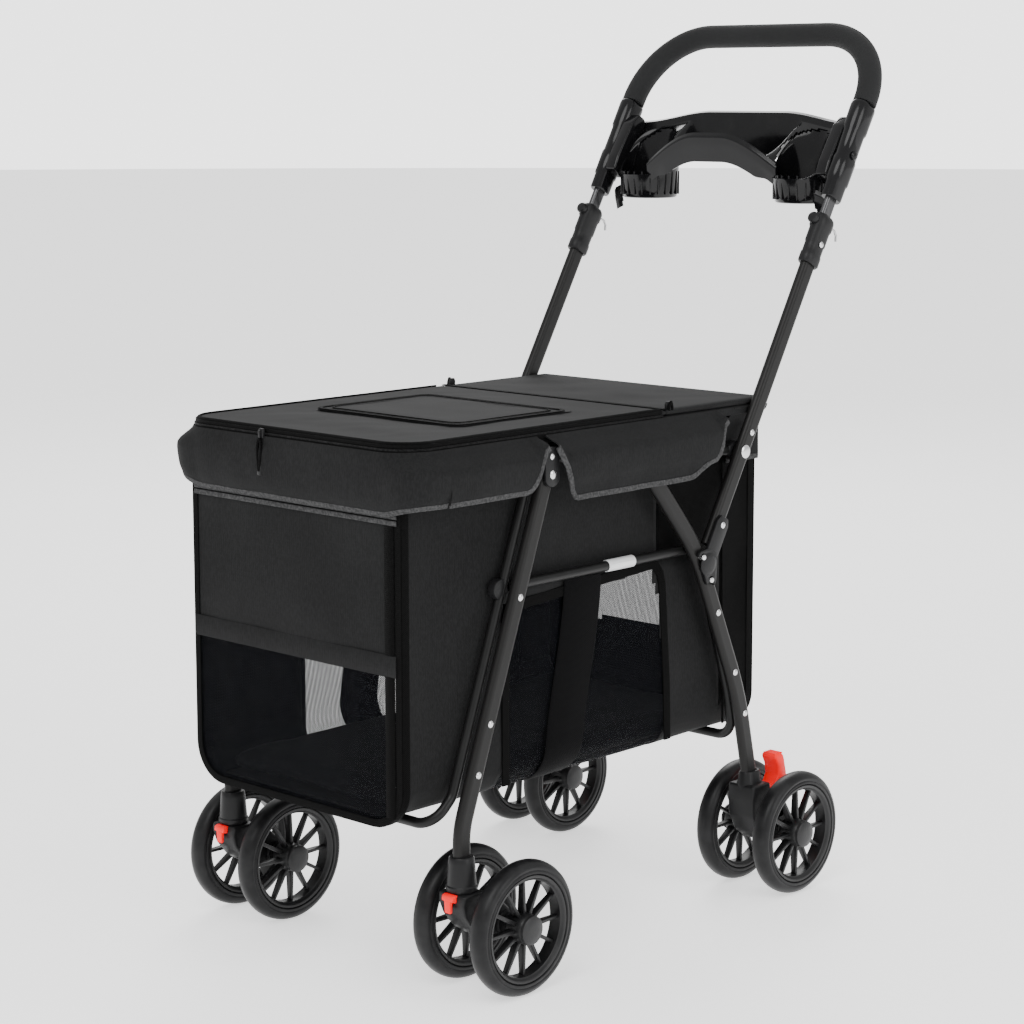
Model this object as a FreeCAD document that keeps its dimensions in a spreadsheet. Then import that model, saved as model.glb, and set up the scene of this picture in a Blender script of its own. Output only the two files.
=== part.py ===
import FreeCAD, Part
import math
import os
import re
import Sketcher
from FreeCAD import Vector

# Folding pet stroller: flat-oval tube frame, twin-wheel stations and a lift-off fabric carrier.
# +X is the stroller's left-to-right axis, -Y its front, +Z up. The origin is on the ground, under
# the middle of the whole object. Every length is in millimetres.

os.makedirs("parts", exist_ok=True)
doc = FreeCAD.newDocument("pet_stroller")
dims = doc.addObject("Spreadsheet::Sheet", "dims")

DIMENSIONS = [
    # wheels
    ("wheel_radius", 75), ("tyre_width", 24), ("tyre_depth", 15), ("rim_width", 21),
    ("hub_radius", 17), ("hub_width", 28), ("ring_depth", 7), ("spoke_width", 4.4),
    ("spoke_depth", 9), ("twin_half", 42.8),
    ("front_axle_y", -304), ("rear_axle_y", 181.5), ("axle_radius", 4), ("running_gap", 0.05),
    ("axle_head", 3),
    # tube sections
    ("leg_wide", 22), ("leg_thick", 12), ("tube_wall", 1.6), ("slide_gap", 0.15),
    ("hoop_radius", 5.75), ("layer_gap", 0.9),
    # front legs and casters
    ("front_pivot_y", -220), ("front_pivot_z", 558), ("stem_y", -353),
    ("socket_radius", 15), ("stem_radius", 6),
    ("stem_reach", 26), ("fork_width", 40), ("fork_arm", 17), ("pedal_width", 22),
    # rear legs
    ("rear_pivot_y", -65), ("rear_pivot_z", 562), ("bow_y", 40), ("bow_z", 438),
    ("calf_y", 122), ("calf_z", 250), ("ankle_y", 146),
    # handle
    ("handle_pivot_y", 123), ("handle_pivot_z", 547), ("handle_lean", 30.1),
    ("knuckle_reach", 145), ("lower_length", 304), ("sleeve_low", 249), ("sleeve_high", 315),
    ("sleeve_wall", 4), ("tray_low", 339), ("tray_high", 472), ("bar_reach", 573),
    ("bend_radius", 95), ("grip_radius", 15), ("inner_reach", 165),
    # cradle
    ("rail_front_z", 572), ("bar_z", 438), ("hoop_bend", 24),
    ("front_hoop_y", -385), ("rear_hoop_y", 128), ("hoop_lead", 14),
    ("strap_y", -146), ("strap_width", 62), ("strap_thick", 1.2),
    # carrier
    ("carrier_half", 169), ("carrier_front", -419.3), ("carrier_rear", 173),
    ("bottom_front_z", 200), ("bottom_rear_z", 201), ("wall", 2.5), ("board_thick", 4),
    ("pad_thick", 22), ("pad_gap", 4), ("rim_low", 590), ("rim_top", 600), 
    ("rim_width_y", 14), ("skirt_out", 6), ("skirt_low", 534), ("lid_thick", 8),
    ("lid_gap", 0.3), ("seam_y", -8), ("corner_radius", 58), 
    ("flap_thick", 1.6), ("flap_low", 530), ("flap_front", -372), ("flap_rear", 81),
    ("notch_low", 27), ("window_half", 118), ("window_front", -285), ("window_rear", -100),
    ("window_thick", 2),
    # tray
    ("cup_radius", 37), ("cup_wall", 2.2), ("cup_x", 126), ("cup_y", 322), ("cup_floor", 836),
    ("cup_top", 918), ("tray_front", 284), ("tray_back", 366), ("tray_floor", 884),
    # small parts
    ("rivet_radius", 4), ("rivet_height", 1.6), ("pin_radius", 3.5), ("plate_thick", 5),
    ("bracket_half", 15), ("bracket_inset", 3.8), ("cheek_gap", 0.35),
    ("pivot_radius", 4), ("hinge_radius", 5), ("pivot_head", 2.4), ("corner_rise", 14),
    # sizes that follow from the others: the layers outside the carrier, the heights over the
    # wheels, and the hoops under the floor
    ("track_half", "=carrier_half + strap_thick + 0.4 + 2 * hoop_radius + layer_gap + leg_thick / 2"),
    ("rim_half", "=track_half - 7"), ("flap_out", "=track_half + 11.6"),
    ("floor_half", "=track_half - leg_thick / 2 - layer_gap - hoop_radius - hoop_bend - 2.35"),
    ("socket_low", "=wheel_radius + 44"), ("socket_top", "=socket_low + 24"),
    ("knee_z", "=socket_top + 43"), ("ankle_z", "=wheel_radius + 65"),
    ("foot_z", "=wheel_radius + 37"),
    ("floor_fall", "=(bottom_front_z - bottom_rear_z) / (carrier_rear - carrier_front)"),
    ("front_hoop_z",
     "=bottom_front_z - (front_hoop_y - carrier_front) * floor_fall - hoop_radius - 0.4"),
    ("rear_hoop_z",
     "=bottom_rear_z + (carrier_rear - rear_hoop_y) * floor_fall - hoop_radius - 0.4"),
]
for row, (alias, value) in enumerate(DIMENSIONS, start=1):
    dims.set(f"A{row}", alias)
    dims.set(f"B{row}", str(value))
    dims.setAlias(f"B{row}", alias)
doc.recompute()

ALIASES = {alias for alias, _ in DIMENSIONS}
SIDES = (("left", -1), ("right", 1))
nodes = []


def size(alias):
    """Read one driving dimension."""
    return float(dims.get(alias))


def expression(text):
    """Point every driving dimension named in an expression at the sheet."""
    return re.sub(
        r"[a-z_]+", lambda word: f"dims.{word[0]}" if word[0] in ALIASES else word[0], text
    )


def bind(item, **settings):
    for name, text in settings.items():
        item.setExpression(name, expression(str(text)))
    return item


def place(item, x="0", y="0", z="0"):
    for axis, text in zip("xyz", (x, y, z)):
        item.setExpression(f"Placement.Base.{axis}", expression(str(text)))
    return item


def node(item, label):
    """Give a finished sub-part its name and put it on the export list."""
    item.Label = label
    nodes.append(item)
    return item


def box(x, y, z, length, width, height):
    item = doc.addObject("Part::Box", "box")
    bind(item, Length=length, Width=width, Height=height)
    return place(item, x, y, z)


def rod(radius, length, x, y, z, along="Z"):
    """A cylinder that starts at a point and runs along +X, +Y or +Z."""
    item = doc.addObject("Part::Cylinder", "rod")
    turns = {"X": (Vector(0, 1, 0), 90), "Y": (Vector(1, 0, 0), -90), "Z": (Vector(0, 0, 1), 0)}
    item.Placement = FreeCAD.Placement(Vector(), FreeCAD.Rotation(*turns[along]))
    bind(item, Radius=radius, Height=length)
    return place(item, x, y, z)


def fuse(*pieces):
    item = doc.addObject("Part::MultiFuse", "fuse")
    item.Shapes = list(pieces)
    item.Refine = True
    return item


def cut(base, tool):
    item = doc.addObject("Part::Cut", "cut")
    item.Base = base
    item.Tool = tool
    return item


def group(*pieces):
    item = doc.addObject("Part::Compound", "group")
    item.Links = list(pieces)
    return item


def outline(body, plane, points, offset="0"):
    """A closed polygon sketch on one of the body's planes, each corner tied to the sheet."""
    sketch = body.newObject("Sketcher::SketchObject", "outline")
    origin = [f for f in body.Origin.OriginFeatures if f.Role == plane][0]
    sketch.AttachmentSupport = [(origin, "")]
    sketch.MapMode = "FlatFace"
    sketch.setExpression("AttachmentOffset.Base.z", expression(offset))
    count = len(points)
    for i in range(count):
        start = Vector(math.cos(i), math.sin(i), 0) * 50
        end = Vector(math.cos(i + 1), math.sin(i + 1), 0) * 50
        sketch.addGeometry(Part.LineSegment(start, end), False)
    for i in range(count):
        after = (i + 1) % count
        sketch.addConstraint(Sketcher.Constraint("Coincident", i, 2, after, 1))
    for i, pair in enumerate(points):
        for kind, text in zip(("DistanceX", "DistanceY"), pair):
            index = sketch.addConstraint(Sketcher.Constraint(kind, -1, 1, i, 1, 1.0))
            sketch.setExpression(f"Constraints[{index}]", expression(str(text)))
    return sketch


def prism(plane, points, depth, offset="0", midplane=False):
    """A PartDesign pad of a polygon."""
    body = doc.addObject("PartDesign::Body", "prism")
    sketch = outline(body, plane, points, offset)
    pad = body.newObject("PartDesign::Pad", "pad")
    pad.Profile = sketch
    pad.Midplane = midplane
    bind(pad, Length=depth)
    sketch.Visibility = False
    return body


def turned(points):
    """A PartDesign revolution about the X axis, from (along, radius) corners."""
    body = doc.addObject("PartDesign::Body", "turned")
    sketch = outline(body, "XY_Plane", points)
    spin = body.newObject("PartDesign::Revolution", "spin")
    spin.Profile = sketch
    spin.ReferenceAxis = (sketch, ["H_Axis"])
    spin.Angle = 360
    return body


def copy_at(master, x, y, z):
    """A further piece of a shape that is made once."""
    return place(group(master), x, y, z)


def oval_bar(wide, thick, low, high, x):
    """A flat-oval bar that stands along Z, its long section along Y."""
    half = f"( {thick} ) / 2"
    flat = f"( {wide} ) - ( {thick} )"
    length = f"( {high} ) - ( {low} )"
    core = box(f"{x} - {half}", f"0 - ( {flat} ) / 2", low, thick, flat, length)
    front = rod(half, length, x, f"0 - ( {flat} ) / 2", low)
    back = rod(half, length, x, f"( {flat} ) / 2", low)
    return fuse(core, front, back)


def lean(item):
    """Stand a piece that is drawn upright about the handle's pivot in the handle's own line."""
    item.Placement = FreeCAD.Placement(Vector(), FreeCAD.Rotation(Vector(1, 0, 0), -1))
    place(item, "0", "handle_pivot_y", "handle_pivot_z")
    item.setExpression("Placement.Rotation.Angle", expression("0 - handle_lean"))
    return item


def route(points, bends):
    """Straight runs joined by tangent arcs, one bend radius for each inner corner."""
    edges = []
    start = points[0]
    for before, corner, after, bend in zip(points, points[1:], points[2:], bends):
        inward = (before - corner).normalize()
        outward = (after - corner).normalize()
        half_turn = (math.pi - inward.getAngle(outward)) / 2
        setback = bend * math.tan(half_turn)
        middle = (inward + outward).normalize()
        rise = bend / math.cos(half_turn) - bend
        first = corner + inward * setback
        last = corner + outward * setback
        edges.append(Part.LineSegment(start, first).toShape())
        edges.append(Part.Arc(first, corner + middle * rise, last).toShape())
        start = last
    edges.append(Part.LineSegment(start, points[-1]).toShape())
    return Part.Wire(edges)


def oval_section(wide, thick, centre, along, across):
    """A flat-oval section: its flat faces look along 'across'."""
    side = along.cross(across).normalize() * (wide - thick) / 2
    out = across * thick / 2
    reach = side + side * (thick / (wide - thick))
    upper = Part.LineSegment(centre - side + out, centre + side + out).toShape()
    round_far = Part.Arc(centre + side + out, centre + reach, centre + side - out).toShape()
    lower = Part.LineSegment(centre + side - out, centre - side - out).toShape()
    round_near = Part.Arc(centre - side - out, centre - reach, centre - side + out).toShape()
    return Part.Wire([upper, round_far, lower, round_near])


def round_section(radius, centre, along):
    return Part.Wire([Part.Circle(centre, along, radius).toShape()])


def sweep(path, section):
    return path.makePipeShell([section], True, False)


def oval_tube(points, bends, wide, thick, wall):
    """A bent flat-oval tube with open ends, its flat faces along X at its start."""
    across = Vector(1, 0, 0)
    path = route(points, bends)
    along = (points[1] - points[0]).normalize()
    outer = sweep(path, oval_section(wide, thick, points[0], along, across))
    bore = oval_section(wide - 2 * wall, thick - 2 * wall, points[0], along, across)
    return outer.cut(sweep(path, bore))


def feature(label, shape):
    item = doc.addObject("Part::Feature", label)
    item.Shape = shape
    return node(item, label)


# Wheels: a rubber tyre on a plastic rim whose ring, twelve spokes and hub are one moulding.
# Each turns freely on its own half of the axle that joins it to its twin.
ring_outside = "wheel_radius - tyre_depth"
tyre = turned([
    ("tyre_width / -2", ring_outside),
    ("tyre_width / -2", "wheel_radius - 7"),
    ("tyre_width * -0.36", "wheel_radius - 2.2"),
    ("tyre_width * -0.17", "wheel_radius"),
    ("tyre_width * 0.17", "wheel_radius"),
    ("tyre_width * 0.36", "wheel_radius - 2.2"),
    ("tyre_width / 2", "wheel_radius - 7"),
    ("tyre_width / 2", ring_outside),
])
ring = cut(
    rod(ring_outside, "rim_width", "rim_width / -2", "0", "0", "X"),
    rod(f"{ring_outside} - ring_depth", "rim_width + 2", "rim_width / -2 - 1", "0", "0", "X"),
)
hub = rod("hub_radius", "hub_width", "hub_width / -2", "0", "0", "X")
spokes = []
for turn in range(6):
    spoke = box("0", "0", "0", "spoke_depth", "spoke_width", f"2 * ( {ring_outside} ) - ring_depth")
    angle = math.radians(30 * turn)
    spoke.Placement.Rotation = FreeCAD.Rotation(Vector(1, 0, 0), 30 * turn)
    reach = f"( {ring_outside} - ring_depth / 2 )"
    place(
        spoke,
        "spoke_depth / -2",
        f"{math.sin(angle):.9f} * {reach} - {math.cos(angle):.9f} * spoke_width / 2",
        f"0 - {math.cos(angle):.9f} * {reach} - {math.sin(angle):.9f} * spoke_width / 2",
    )
    spokes.append(spoke)
bore = rod("axle_radius + running_gap", "hub_width + 2", "hub_width / -2 - 1", "0", "0", "X")
rim = cut(fuse(ring, hub, *spokes), bore)

for end, axle_y in (("front", "front_axle_y"), ("rear", "rear_axle_y")):
    for side, sign in SIDES:
        for place_in_pair, offset in (("inner", -1), ("outer", 1)):
            x = f"{sign} * ( track_half + {offset} * twin_half )"
            name = f"{end}_{side}_{place_in_pair}"
            node(copy_at(tyre, x, axle_y, "wheel_radius"), f"tyre_{name}")
            node(copy_at(rim, x, axle_y, "wheel_radius"), f"rim_{name}")

# Axles: a plain steel pin through each fork, with a round head outside each rim.
axle_half = "( twin_half + hub_width / 2 + 0.5 )"


def axle(x_sign, y):
    centre = f"{x_sign} * track_half"
    pin = rod("axle_radius", f"2 * {axle_half}", f"{centre} - {axle_half}", y, "wheel_radius", "X")
    heads = [
        rod("axle_radius + 3", "axle_head", f"{centre} - {axle_half} - axle_head", y, "wheel_radius", "X"),
        rod("axle_radius + 3", "axle_head", f"{centre} + {axle_half}", y, "wheel_radius", "X"),
    ]
    return fuse(pin, *heads)


for side, sign in SIDES:
    node(axle(sign, "front_axle_y"), f"axle_front_{side}")
node(group(axle(-1, "rear_axle_y"), axle(1, "rear_axle_y")), "rear_axles")

# Front casters: a moulded fork trails behind a vertical stem and turns under a plastic socket.
for side, sign in SIDES:
    centre = f"{sign} * track_half"
    arm = prism(
        "YZ_Plane",
        [
            ("stem_y - fork_arm", "socket_low - running_gap"),
            ("stem_y - fork_arm", "socket_low - 22"),
            ("stem_y - 4", "wheel_radius - 6"),
            ("front_axle_y - 6", "wheel_radius - 15"),
            ("front_axle_y + 12", "wheel_radius - 10"),
            ("front_axle_y + 14", "wheel_radius + 8"),
            ("stem_y + fork_arm + 6", "socket_low - 5"),
            ("stem_y + fork_arm", "socket_low - running_gap"),
        ],
        "fork_width",
        midplane=True,
    )
    place(arm, centre)
    stem_hole = rod(
        "stem_radius + running_gap", "stem_reach + 1", centre, "stem_y", "socket_low - stem_reach - 1"
    )
    axle_hole = rod(
        "axle_radius", "fork_width + 2", f"{centre} - fork_width / 2 - 1", "front_axle_y", "wheel_radius", "X"
    )
    latch = box(
        f"{centre} - 9", "stem_y - fork_arm - 1", "socket_low - 23", "18", "7", "24"
    )
    node(cut(cut(cut(arm, stem_hole), axle_hole), latch), f"caster_fork_{side}")

    # The red latch tips about its upper edge to stop the fork from swivelling.
    lever = box(f"{centre} - 8.5", "stem_y - fork_arm - 6", "socket_low - 8", "17", "10", "7")
    tail = box(f"{centre} - 4", "stem_y - fork_arm - 6", "socket_low - 21", "8", "5", "13")
    node(fuse(lever, tail), f"swivel_latch_{side}")

sockets = []
for side, sign in SIDES:
    centre = f"{sign} * track_half"
    cup = rod("socket_radius", "socket_top - socket_low", centre, "stem_y", "socket_low")
    pin = rod("stem_radius", "stem_reach", centre, "stem_y", "socket_low - stem_reach")
    sockets.append(fuse(cup, pin))
node(group(*sockets), "caster_sockets")



def pin_hole(x, y, z):
    """The hole that a leg's pivot pin passes through."""
    length = size("leg_thick") + 4
    return Part.makeCylinder(
        size("pivot_radius") + size("running_gap"), length, Vector(x - length / 2, y, z), Vector(1, 0, 0)
    )


# Front legs: one flat-oval tube a side, straight from its pivot to the knee and upright below it.
leg_slope = (size("stem_y") - size("front_pivot_y")) / (size("front_pivot_z") - size("knee_z"))
leg_top_z = size("front_pivot_z") + 14
for side, sign in SIDES:
    x = sign * size("track_half")
    corners = [
        Vector(x, size("front_pivot_y") - leg_slope * 14, leg_top_z),
        Vector(x, size("stem_y"), size("knee_z")),
        Vector(x, size("stem_y"), size("socket_top")),
    ]
    tube = oval_tube(corners, [90], size("leg_wide"), size("leg_thick"), size("tube_wall"))
    feature(f"front_leg_{side}", tube.cut(pin_hole(x, size("front_pivot_y"), size("front_pivot_z"))))

# Rear legs: one tube a side, bowed at the knuckle and again near the ankle.
for side, sign in SIDES:
    x = sign * size("track_half")
    pivot = Vector(x, size("rear_pivot_y"), size("rear_pivot_z"))
    bow_point = Vector(x, size("bow_y"), size("bow_z"))
    corners = [
        pivot + (pivot - bow_point).normalize() * 14,
        bow_point,
        Vector(x, size("calf_y"), size("calf_z")),
        Vector(x, size("ankle_y"), size("ankle_z")),
        Vector(x, size("ankle_y"), size("foot_z")),
    ]
    tube = oval_tube(
        corners, [250, 400, 90], size("leg_wide"), size("leg_thick"), size("tube_wall")
    )
    feature(f"rear_leg_{side}", tube.cut(pin_hole(x, pivot.y, pivot.z)))

# Rear wheel housings: a moulded block under each rear leg that holds the axle, with two lugs
# and a pin for the brake pedal.
pedal_y = "( rear_axle_y + 1.5 )"
pedal_z = "( wheel_radius + 44 )"
housings = []
for side, sign in SIDES:
    centre = f"{sign} * track_half"
    block = prism(
        "YZ_Plane",
        [
            ("ankle_y - 17", "foot_z + 24"),
            ("ankle_y - 17", "foot_z - 26"),
            ("rear_axle_y - 12", "wheel_radius - 15"),
            ("rear_axle_y + 14", "wheel_radius - 11"),
            ("rear_axle_y + 17", "wheel_radius + 15"),
            ("rear_axle_y - 4", "foot_z - 6"),
            ("ankle_y + 17", "foot_z + 12"),
            ("ankle_y + 17", "foot_z + 24"),
        ],
        "fork_width",
        midplane=True,
    )
    place(block, centre)
    axle_hole = rod(
        "axle_radius", "fork_width + 2", f"{centre} - fork_width / 2 - 1", "rear_axle_y", "wheel_radius", "X"
    )
    leg_hole = oval_bar("leg_wide", "leg_thick", "foot_z", "foot_z + 30", centre)
    place(leg_hole, "0", "ankle_y")
    lugs = [
        box(
            f"{centre} - fork_width / 2", f"{pedal_y} - 7", "wheel_radius + 15",
            "fork_width / 2 - pedal_width / 2 - 0.5", "14", "36",
        ),
        box(
            f"{centre} + pedal_width / 2 + 0.5", f"{pedal_y} - 7", "wheel_radius + 15",
            "fork_width / 2 - pedal_width / 2 - 0.5", "14", "36",
        ),
    ]
    pivot = rod("3", "fork_width", f"{centre} - fork_width / 2", pedal_y, pedal_z, "X")
    housings.append(fuse(cut(cut(block, axle_hole), leg_hole), pivot, *lugs))
node(group(*housings), "rear_housings")

# Brake pedals: a red foot lever that turns on each housing's pin.
for side, sign in SIDES:
    blade = prism(
        "YZ_Plane",
        [
            ("rear_axle_y - 5", "wheel_radius + 50"),
            ("rear_axle_y + 9", "wheel_radius + 41"),
            ("rear_axle_y + 24", "wheel_radius + 46"),
            ("rear_axle_y + 26", "wheel_radius + 56"),
            ("rear_axle_y + 18", "wheel_radius + 88"),
            ("rear_axle_y + 2", "wheel_radius + 90"),
            ("rear_axle_y + 8", "wheel_radius + 62"),
        ],
        "pedal_width",
        midplane=True,
    )
    boss = rod("9", "pedal_width", "pedal_width / -2", pedal_y, pedal_z, "X")
    eye = rod("3 + running_gap", "pedal_width + 2", "pedal_width / -2 - 1", pedal_y, pedal_z, "X")
    node(place(cut(fuse(blade, boss), eye), f"{sign} * track_half"), f"brake_pedal_{side}")

# Cradle: rails at the carrier's rim, a bar below them and two hoops that cross under the carrier.

hoop_x = size("track_half") - size("leg_thick") / 2 - size("layer_gap") - size("hoop_radius")
hoop_radius = size("hoop_radius")
leg_clear = size("leg_wide") / 2 + 12


def round_tube(points, bends):
    path = route(points, bends)
    along = (points[1] - points[0]).normalize()
    bar = sweep(path, round_section(hoop_radius, points[0], along))
    return bar.cut(sweep(path, round_section(hoop_radius - size("tube_wall"), points[0], along)))


rails = []
for side, sign in SIDES:
    start = Vector(sign * hoop_x, size("front_pivot_y") + leg_clear, size("rail_front_z"))
    fall = (size("rail_front_z") - size("handle_pivot_z")) / (start.y - size("handle_pivot_y"))
    end = Vector(sign * hoop_x, size("handle_pivot_y") - 12, size("handle_pivot_z") - fall * 12)
    rails.append(round_tube([start, end], []))
feature("top_rails", Part.makeCompound(rails))

disc_y = size("front_pivot_y") + leg_slope * (size("front_pivot_z") - size("bar_z")) - size("hoop_lead")
bars = []
for side, sign in SIDES:
    start = Vector(sign * hoop_x, disc_y + hoop_radius * 1.45, size("bar_z"))
    end = Vector(sign * hoop_x, size("bow_y") + 8, size("bar_z"))
    bars.append(round_tube([start, end], []))
feature("side_bars", Part.makeCompound(bars))


def hoop(label, side_points, side_bends, cross_y, cross_z):
    """A U-shaped tube: two arms in the side planes joined by a straight run under the carrier."""
    arm = [Vector(-hoop_x, y, z) for y, z in side_points]
    low = [Vector(-hoop_x, cross_y, cross_z), Vector(hoop_x, cross_y, cross_z)]
    back = [Vector(hoop_x, y, z) for y, z in reversed(side_points)]
    return feature(label, round_tube(arm + low + back, side_bends + [size("hoop_bend")] * 2 + side_bends[::-1]))


hoop_top_z = size("rail_front_z") - hoop_radius - 22
hoop_knee_z = size("front_hoop_z") + 26
hoop_knee_y = disc_y + leg_slope * (size("bar_z") - hoop_knee_z)
front_hoop = hoop(
    "front_hoop",
    [
        (disc_y + leg_slope * (size("bar_z") - hoop_top_z), hoop_top_z),
        (hoop_knee_y, hoop_knee_z),
    ],
    [22],
    size("front_hoop_y"),
    size("front_hoop_z"),
)
rear_hoop = hoop(
    "rear_hoop",
    [
        (size("bow_y") + 18, size("bar_z") - hoop_radius - 1),
        (size("calf_y") - 4, size("calf_z")),
    ],
    [300],
    size("rear_hoop_y"),
    size("rear_hoop_z"),
)

# Leg brackets: a plastic clevis at the front of each rail, which the front leg hangs in.
brackets = []
for side, sign in SIDES:
    centre = f"{sign} * track_half"
    block = box(
        f"{sign} * ( track_half - bracket_inset ) - bracket_half",
        "front_pivot_y - 12", "front_pivot_z - 16", "2 * bracket_half", "24", "46",
    )
    slot = box(
        f"{centre} - leg_thick / 2 - cheek_gap", "front_pivot_y - 13", "front_pivot_z - 17",
        "leg_thick + 2 * cheek_gap", "26", "39",
    )
    pin = rod(
        "pivot_radius", "2 * bracket_half", f"{sign} * ( track_half - bracket_inset ) - bracket_half",
        "front_pivot_y", "front_pivot_z", "X",
    )
    brackets.append(fuse(cut(block, slot), pin))
node(group(*brackets), "leg_brackets")

# Rail ends: a plastic block at the rear of each rail, with the headed pin that the handle turns on.
inner_x = "( track_half - leg_thick / 2 - layer_gap - hoop_radius )"


def outboard(sign, inner, width):
    """Where a slab starts whose near face is 'inner' outboard of the leg's middle plane."""
    shift = width if sign < 0 else "0"
    return f"{sign} * ( track_half + {inner} ) - {shift}"


def headed_pin(sign, radius, root, y, z):
    """A pivot pin from 'root' inside the leg's middle plane to a head outside the leg."""
    length = f"( {root} + leg_thick / 2 + cheek_gap )"
    pin = rod(radius, length, outboard(sign, f"( 0 - {root} )", length), y, z, "X")
    head = rod(
        f"{radius} + 3", "pivot_head", outboard(sign, "leg_thick / 2 + cheek_gap", "pivot_head"), y, z, "X"
    )
    return fuse(pin, head)


blocks = []
for side, sign in SIDES:
    block = box(
        f"{sign} * {inner_x} - hoop_radius",
        "handle_pivot_y - 11.4", "handle_pivot_z - 12", "2 * hoop_radius", "24", "24",
    )
    pin = headed_pin(
        sign, "hinge_radius", "( leg_thick / 2 + layer_gap )", "handle_pivot_y", "handle_pivot_z"
    )
    blocks.append(fuse(block, pin))
node(group(*blocks), "rail_ends")

# Rear leg pins: a small saddle on the outside of each rail with the pin that the rear leg turns on.
saddles = []
for side, sign in SIDES:
    root = "( leg_thick / 2 + layer_gap - 0.1 )"
    saddle = box(
        outboard(sign, f"( 0 - {root} )", "0.6"), "rear_pivot_y - 10", "rear_pivot_z - 8", "0.6", "20", "16"
    )
    pin = headed_pin(sign, "pivot_radius", root, "rear_pivot_y", "rear_pivot_z")
    saddles.append(fuse(saddle, pin))
node(group(*saddles), "rear_leg_pins")

# Bar sleeves: a plain white sleeve on the middle of each side bar.
sleeves = []
for side, sign in SIDES:
    centre = f"{sign} * {inner_x}"
    shell = rod("hoop_radius + 0.8", "46", centre, "strap_y + 40", "bar_z", "Y")
    hollow = rod("hoop_radius", "48", centre, "strap_y + 39", "bar_z", "Y")
    sleeves.append(cut(shell, hollow))
node(group(*sleeves), "bar_sleeves")

# Belly strap: wide webbing that hangs from both bars and passes under the carrier.
strap_half = "( carrier_half + 0.1 )"
strap_outer = f"( {strap_half} + strap_thick )"
strap_low = "( bottom_rear_z - 3 )"
strap = cut(
    box(
        f"0 - {strap_outer}", "strap_y - strap_width / 2", strap_low,
        f"2 * {strap_outer}", "strap_width", f"bar_z - {strap_low}",
    ),
    box(
        f"0 - {strap_half}", "strap_y - strap_width / 2 - 1", f"{strap_low} + strap_thick",
        f"2 * {strap_half}", "strap_width + 2", f"bar_z - {strap_low}",
    ),
)
node(strap, "belly_strap")

# Handle: two lower tubes turn on the rail ends and carry the knuckle plates at their feet.
for side, sign in SIDES:
    x = f"{sign} * track_half"
    outer = oval_bar("leg_wide", "leg_thick", "22 - knuckle_reach", "lower_length", x)
    bore = oval_bar(
        "leg_wide - 2 * tube_wall", "leg_thick - 2 * tube_wall", "21 - knuckle_reach",
        "lower_length + 1", x,
    )
    hinge_hole = rod(
        "hinge_radius + running_gap", "leg_thick + 4", f"{x} - leg_thick / 2 - 2", "0", "0", "X"
    )
    node(lean(cut(cut(outer, bore), hinge_hole)), f"lower_handle_tube_{side}")

# Height collars: plastic sleeves on top of the lower tubes, each with a locking knob.
collars = []
for side, sign in SIDES:
    x = f"{sign} * track_half"
    shell = oval_bar(
        "leg_wide + 2 * sleeve_wall", "leg_thick + 2 * sleeve_wall", "sleeve_low", "sleeve_high", x
    )
    hollow = oval_bar("leg_wide", "leg_thick", "sleeve_low - 1", "lower_length", x)
    throat = oval_bar(
        "leg_wide - 2 * tube_wall", "leg_thick - 2 * tube_wall", "lower_length - 1",
        "sleeve_high + 1", x,
    )
    knob = rod("5", "3.5", x, "0 - leg_wide / 2 - sleeve_wall - 3", "sleeve_high - 10", "Y")
    collars.append(fuse(cut(cut(shell, hollow), throat), knob))
node(lean(group(*collars)), "height_collars")

# Knuckles: an outer plate on each tube's foot whose two open hooks hold pins on the rear leg.
lean_sin = "sin( handle_lean )"
lean_cos = "cos( handle_lean )"
knuckle_y = f"( handle_pivot_y - knuckle_reach * {lean_sin} )"
knuckle_z = f"( handle_pivot_z - knuckle_reach * {lean_cos} )"
HOOKS = (("bow_y", "bar_z - 7", 25), ("bow_y + 15", "bar_z - 36", 15))


plates = []
for side, sign in SIDES:
    x = outboard(sign, "leg_thick / 2 + cheek_gap", "plate_thick")
    disc = rod("16", "plate_thick", x, knuckle_y, knuckle_z, "X")
    lobe = rod("10", "plate_thick", x, HOOKS[1][0], HOOKS[1][1], "X")
    arm = box("0", "0", "0", "plate_thick", "leg_wide", "60")
    arm.Placement.Rotation = FreeCAD.Rotation(Vector(1, 0, 0), -1)
    arm.setExpression("Placement.Rotation.Angle", expression("0 - handle_lean"))
    place(
        arm, x,
        f"{knuckle_y} - leg_wide / 2 * {lean_cos}",
        f"{knuckle_z} + leg_wide / 2 * {lean_sin}",
    )
    plate = fuse(disc, lobe, arm)
    for hook_y, hook_z, rise in HOOKS:
        seat = rod("pin_radius + 1", "plate_thick + 2", f"{x} - 1", hook_y, hook_z, "X")
        opening = box("0", "0", "0", "plate_thick + 2", "40", "2 * pin_radius + 2")
        opening.Placement.Rotation = FreeCAD.Rotation(Vector(1, 0, 0), 180 - rise)
        swing = math.radians(rise)
        place(
            opening, f"{x} - 1",
            f"{hook_y} + {math.sin(swing):.6f} * ( pin_radius + 1 )",
            f"{hook_z} + {math.cos(swing):.6f} * ( pin_radius + 1 )",
        )
        plate = cut(cut(plate, seat), opening)
    plates.append(plate)
node(group(*plates), "knuckle_plates")

# Upper handle: one bent tube slides in the lower ones. Foam covers its bend.
inner_wide = size("leg_wide") - 2 * size("tube_wall") - 2 * size("slide_gap")
inner_thick = size("leg_thick") - 2 * size("tube_wall") - 2 * size("slide_gap")
upright = Vector(0, 0, 1)
sideways = Vector(1, 0, 0)


def bow(low):
    half = size("track_half")
    high = size("bar_reach")
    return [Vector(-half, 0, low), Vector(-half, 0, high), Vector(half, 0, high), Vector(half, 0, low)]


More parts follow.
